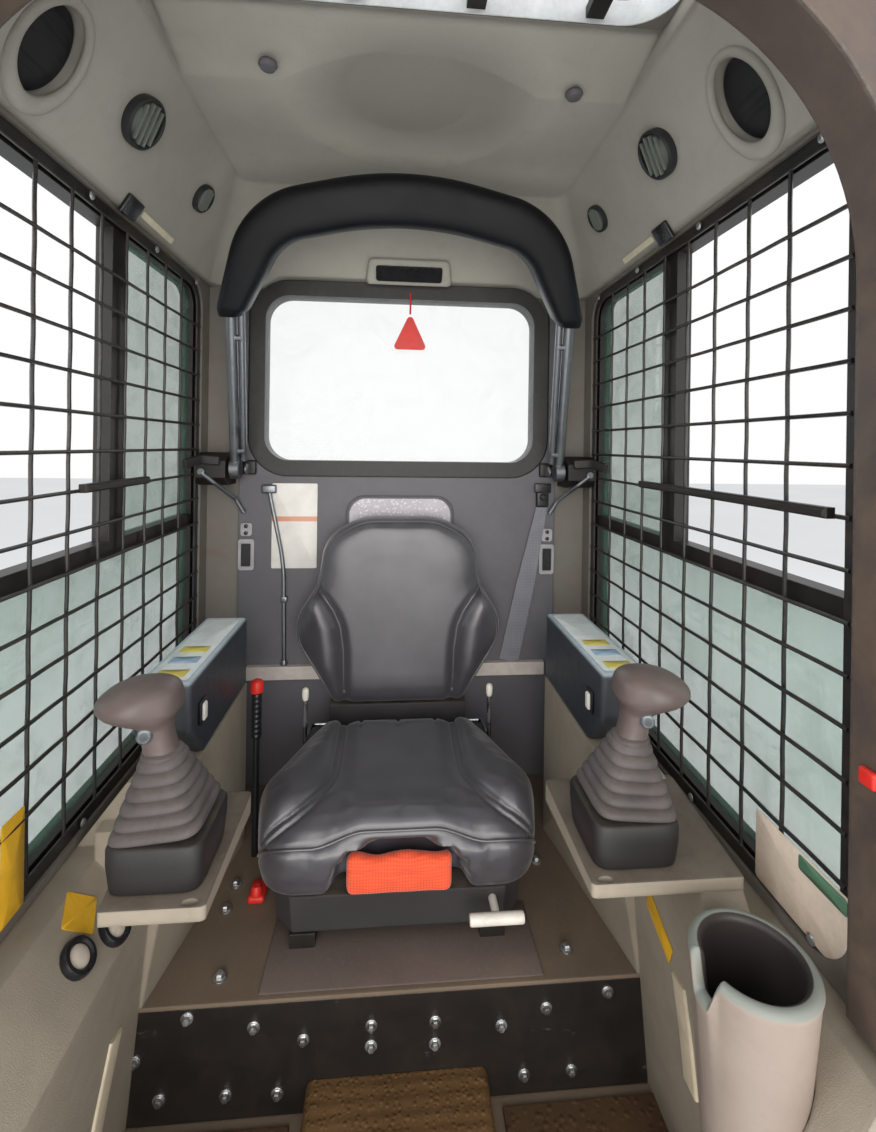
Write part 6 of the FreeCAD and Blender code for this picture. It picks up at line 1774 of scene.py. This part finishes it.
class CAB_OT_labels(bpy.types.Operator):
    """Make the blank labels: plain plates in the colours of the real ones, with no print on them."""
    bl_idname = "cab.labels"
    bl_label = "Blank labels"

    def execute(self, context):
        cream = enamel("label_paper", linear((232, 212, 192)), 0.5)
        yellow = enamel("label_yellow", linear((224, 172, 40)), 0.45)
        green = enamel("label_band", linear((96, 136, 108)), 0.5)
        forms = [tag_form((0.4455, -0.2785, 0.4805), (0, 1, 0), (0, 0, 1), 0.141, 0.085, 0.005, 0.0008)]
        finished(made("label_right", joined(forms), cream))
        band = tag_form((0.4446, -0.3140, 0.5120), (0, 1, 0), (0, 0, 1), 0.066, 0.017, 0.003, 0.0004)
        finished(made("label_right_band", band, green))
        left = tag_form((-0.4455, -0.2015, 0.480), (0, -1, 0), (0, 0, 1), 0.039, 0.134, 0.004, 0.0008)
        slope = tag_form((-0.3919, -0.165, 0.4013), (-0.341, 0.866, 0.366), (-0.590, -0.5, 0.634), 0.042, 0.042, 0.003,
                         0.0008)
        lean = tag_form((0.3461, -0.158, 0.3353), (0.02, -0.908, -0.418), (-0.082, -0.418, 0.904), 0.068, 0.033, 0.003,
                        0.0008)
        finished(made("labels_yellow", joined([left, slope, lean]), yellow))
        return {"FINISHED"}


# Stage

class CAB_OT_stage(bpy.types.Operator):
    """Set the floor, the lights, the world and the camera where the photograph was taken."""
    bl_idname = "cab.stage"
    bl_label = "Stage"

    def execute(self, context):
        scene = context.scene
        scene.view_settings.view_transform = "Standard"
        floor = self.floor()
        self.lights(scene)
        self.world(scene)
        camera = bpy.data.cameras.new("camera")
        camera.lens, camera.shift_y = 17.17, -0.106
        camera.clip_start = 0.01
        viewer = bpy.data.objects.new("camera", camera)
        scene.collection.objects.link(viewer)
        turn = (Matrix.Rotation(math.radians(-4.8), 4, "Z") @ Matrix.Rotation(math.radians(90), 4, "X")
                @ Matrix.Rotation(math.radians(0.8), 4, "Z"))
        viewer.matrix_world = Matrix.Translation((-0.020, -0.856, 0.976)) @ turn
        scene.camera = viewer
        return {"FINISHED"}

    @staticmethod
    def floor():
        """A wide pale sheet just under the cab, which keeps the cab's shadow."""
        mesh = bpy.data.meshes.new("floor")
        mesh.from_pydata([(-14, -14, -0.001), (14, -14, -0.001), (14, 14, -0.001), (-14, 14, -0.001)], [],
                         [(0, 1, 2, 3)])
        floor = bpy.data.objects.new("floor", mesh)
        bpy.context.scene.collection.objects.link(floor)
        finish = Finish("floor_pale", Roughness=0.8)
        tone = finish.noise(0.6, 3).between(0.3, 0.7)
        finish.feed("Base Color", finish.mix((0.80, 0.80, 0.79), (0.84, 0.84, 0.83), tone))
        mesh.materials.append(finish.material)
        return floor

    @staticmethod
    def lights(scene):
        """Soft area lights: a wide one in front of the door, one over the roof and one at each side."""
        table = (("front", (0.0, -3.1, 1.35), (86, 0, 0), 2.6, 100), ("left", (-2.7, -0.5, 1.9), (0, -66, 0), 2.4, 52),
                 ("right", (2.7, -0.5, 1.9), (0, 66, 0), 2.4, 36), ("top", (0, 0.2, 3.6), (0, 0, 0), 2.6, 22),
                 ("rear", (0, 3.0, 1.7), (-76, 0, 0), 2.4, 24))
        for name, spot, angles, size, power in table:
            lamp = bpy.data.lights.new(name, "AREA")
            lamp.shape, lamp.size, lamp.energy = "SQUARE", size, power
            lamp.color = (1.0, 0.97, 0.93) if name == "front" else (0.92, 0.97, 1.0)
            holder = bpy.data.objects.new(name, lamp)
            scene.collection.objects.link(holder)
            holder.location = spot
            holder.rotation_euler = tuple(math.radians(angle) for angle in angles)

    @staticmethod
    def world(scene):
        """White behind the object, for its mirrors and panes too, and a softer grey as its light."""
        world = scene.world or bpy.data.worlds.new("world")
        scene.world = world
        world.use_nodes = True
        tree = world.node_tree
        tree.nodes.clear()
        out = tree.nodes.new("ShaderNodeOutputWorld")
        plain, seen = tree.nodes.new("ShaderNodeBackground"), tree.nodes.new("ShaderNodeBackground")
        plain.inputs["Color"].default_value, plain.inputs["Strength"].default_value = (0.95, 0.97, 1.0, 1), 0.9
        seen.inputs["Color"].default_value, seen.inputs["Strength"].default_value = (1, 1, 1, 1), 1.0
        path, any_ray = tree.nodes.new("ShaderNodeLightPath"), tree.nodes.new("ShaderNodeMath")
        more = tree.nodes.new("ShaderNodeMath")
        any_ray.operation = more.operation = "MAXIMUM"
        tree.links.new(path.outputs["Is Camera Ray"], any_ray.inputs[0])
        tree.links.new(path.outputs["Is Transmission Ray"], any_ray.inputs[1])
        tree.links.new(any_ray.outputs[0], more.inputs[0])
        tree.links.new(path.outputs["Is Glossy Ray"], more.inputs[1])
        blend = tree.nodes.new("ShaderNodeMixShader")
        tree.links.new(more.outputs[0], blend.inputs[0])
        tree.links.new(plain.outputs[0], blend.inputs[1])
        tree.links.new(seen.outputs[0], blend.inputs[2])
        tree.links.new(blend.outputs[0], out.inputs["Surface"])


# Panel and registration

ORDER = (CAB_OT_finishes, CAB_OT_screens, CAB_OT_vents, CAB_OT_speakers, CAB_OT_lamp, CAB_OT_liner_fittings,
         CAB_OT_roof_well_light, CAB_OT_rear, CAB_OT_belt, CAB_OT_towers, CAB_OT_boots, CAB_OT_grips, CAB_OT_armrests, CAB_OT_cup,
         CAB_OT_sockets, CAB_OT_side_trims,
         CAB_OT_cushion, CAB_OT_backrest, CAB_OT_pouch, CAB_OT_bar, CAB_OT_foam, CAB_OT_pivots,
         CAB_OT_seat_fittings, CAB_OT_hip, CAB_OT_bolts, CAB_OT_mats, CAB_OT_panels, CAB_OT_outside,
         CAB_OT_labels, CAB_OT_stage)


class CAB_PT_sidebar(bpy.types.Panel):
    """Lists the sizes, the colours and the pieces of the cab."""
    bl_idname = "CAB_PT_sidebar"
    bl_label = "Cab"
    bl_space_type = "VIEW_3D"
    bl_region_type = "UI"
    bl_category = "Cab"

    def draw(self, context):
        for group in (context.scene.cab_sizes, context.scene.cab_colours):
            for name in group.__annotations__:
                self.layout.prop(group, name)
        for operator in ORDER:
            self.layout.operator(operator.bl_idname)


CLASSES = (CabSizes, CabColours, *ORDER, CAB_PT_sidebar)


def register():
    """Adds the classes and the scene's sizes and colours."""
    for item in CLASSES:
        bpy.utils.register_class(item)
    bpy.types.Scene.cab_sizes = PointerProperty(type=CabSizes)
    bpy.types.Scene.cab_colours = PointerProperty(type=CabColours)


def unregister():
    """Takes them away again."""
    del bpy.types.Scene.cab_colours
    del bpy.types.Scene.cab_sizes
    for item in reversed(CLASSES):
        bpy.utils.unregister_class(item)


def main():
    """Makes every piece in order."""
    register()
    for operator in ORDER:
        group, name = operator.bl_idname.split(".")
        getattr(getattr(bpy.ops, group), name)()


if __name__ == "__main__":
    main()
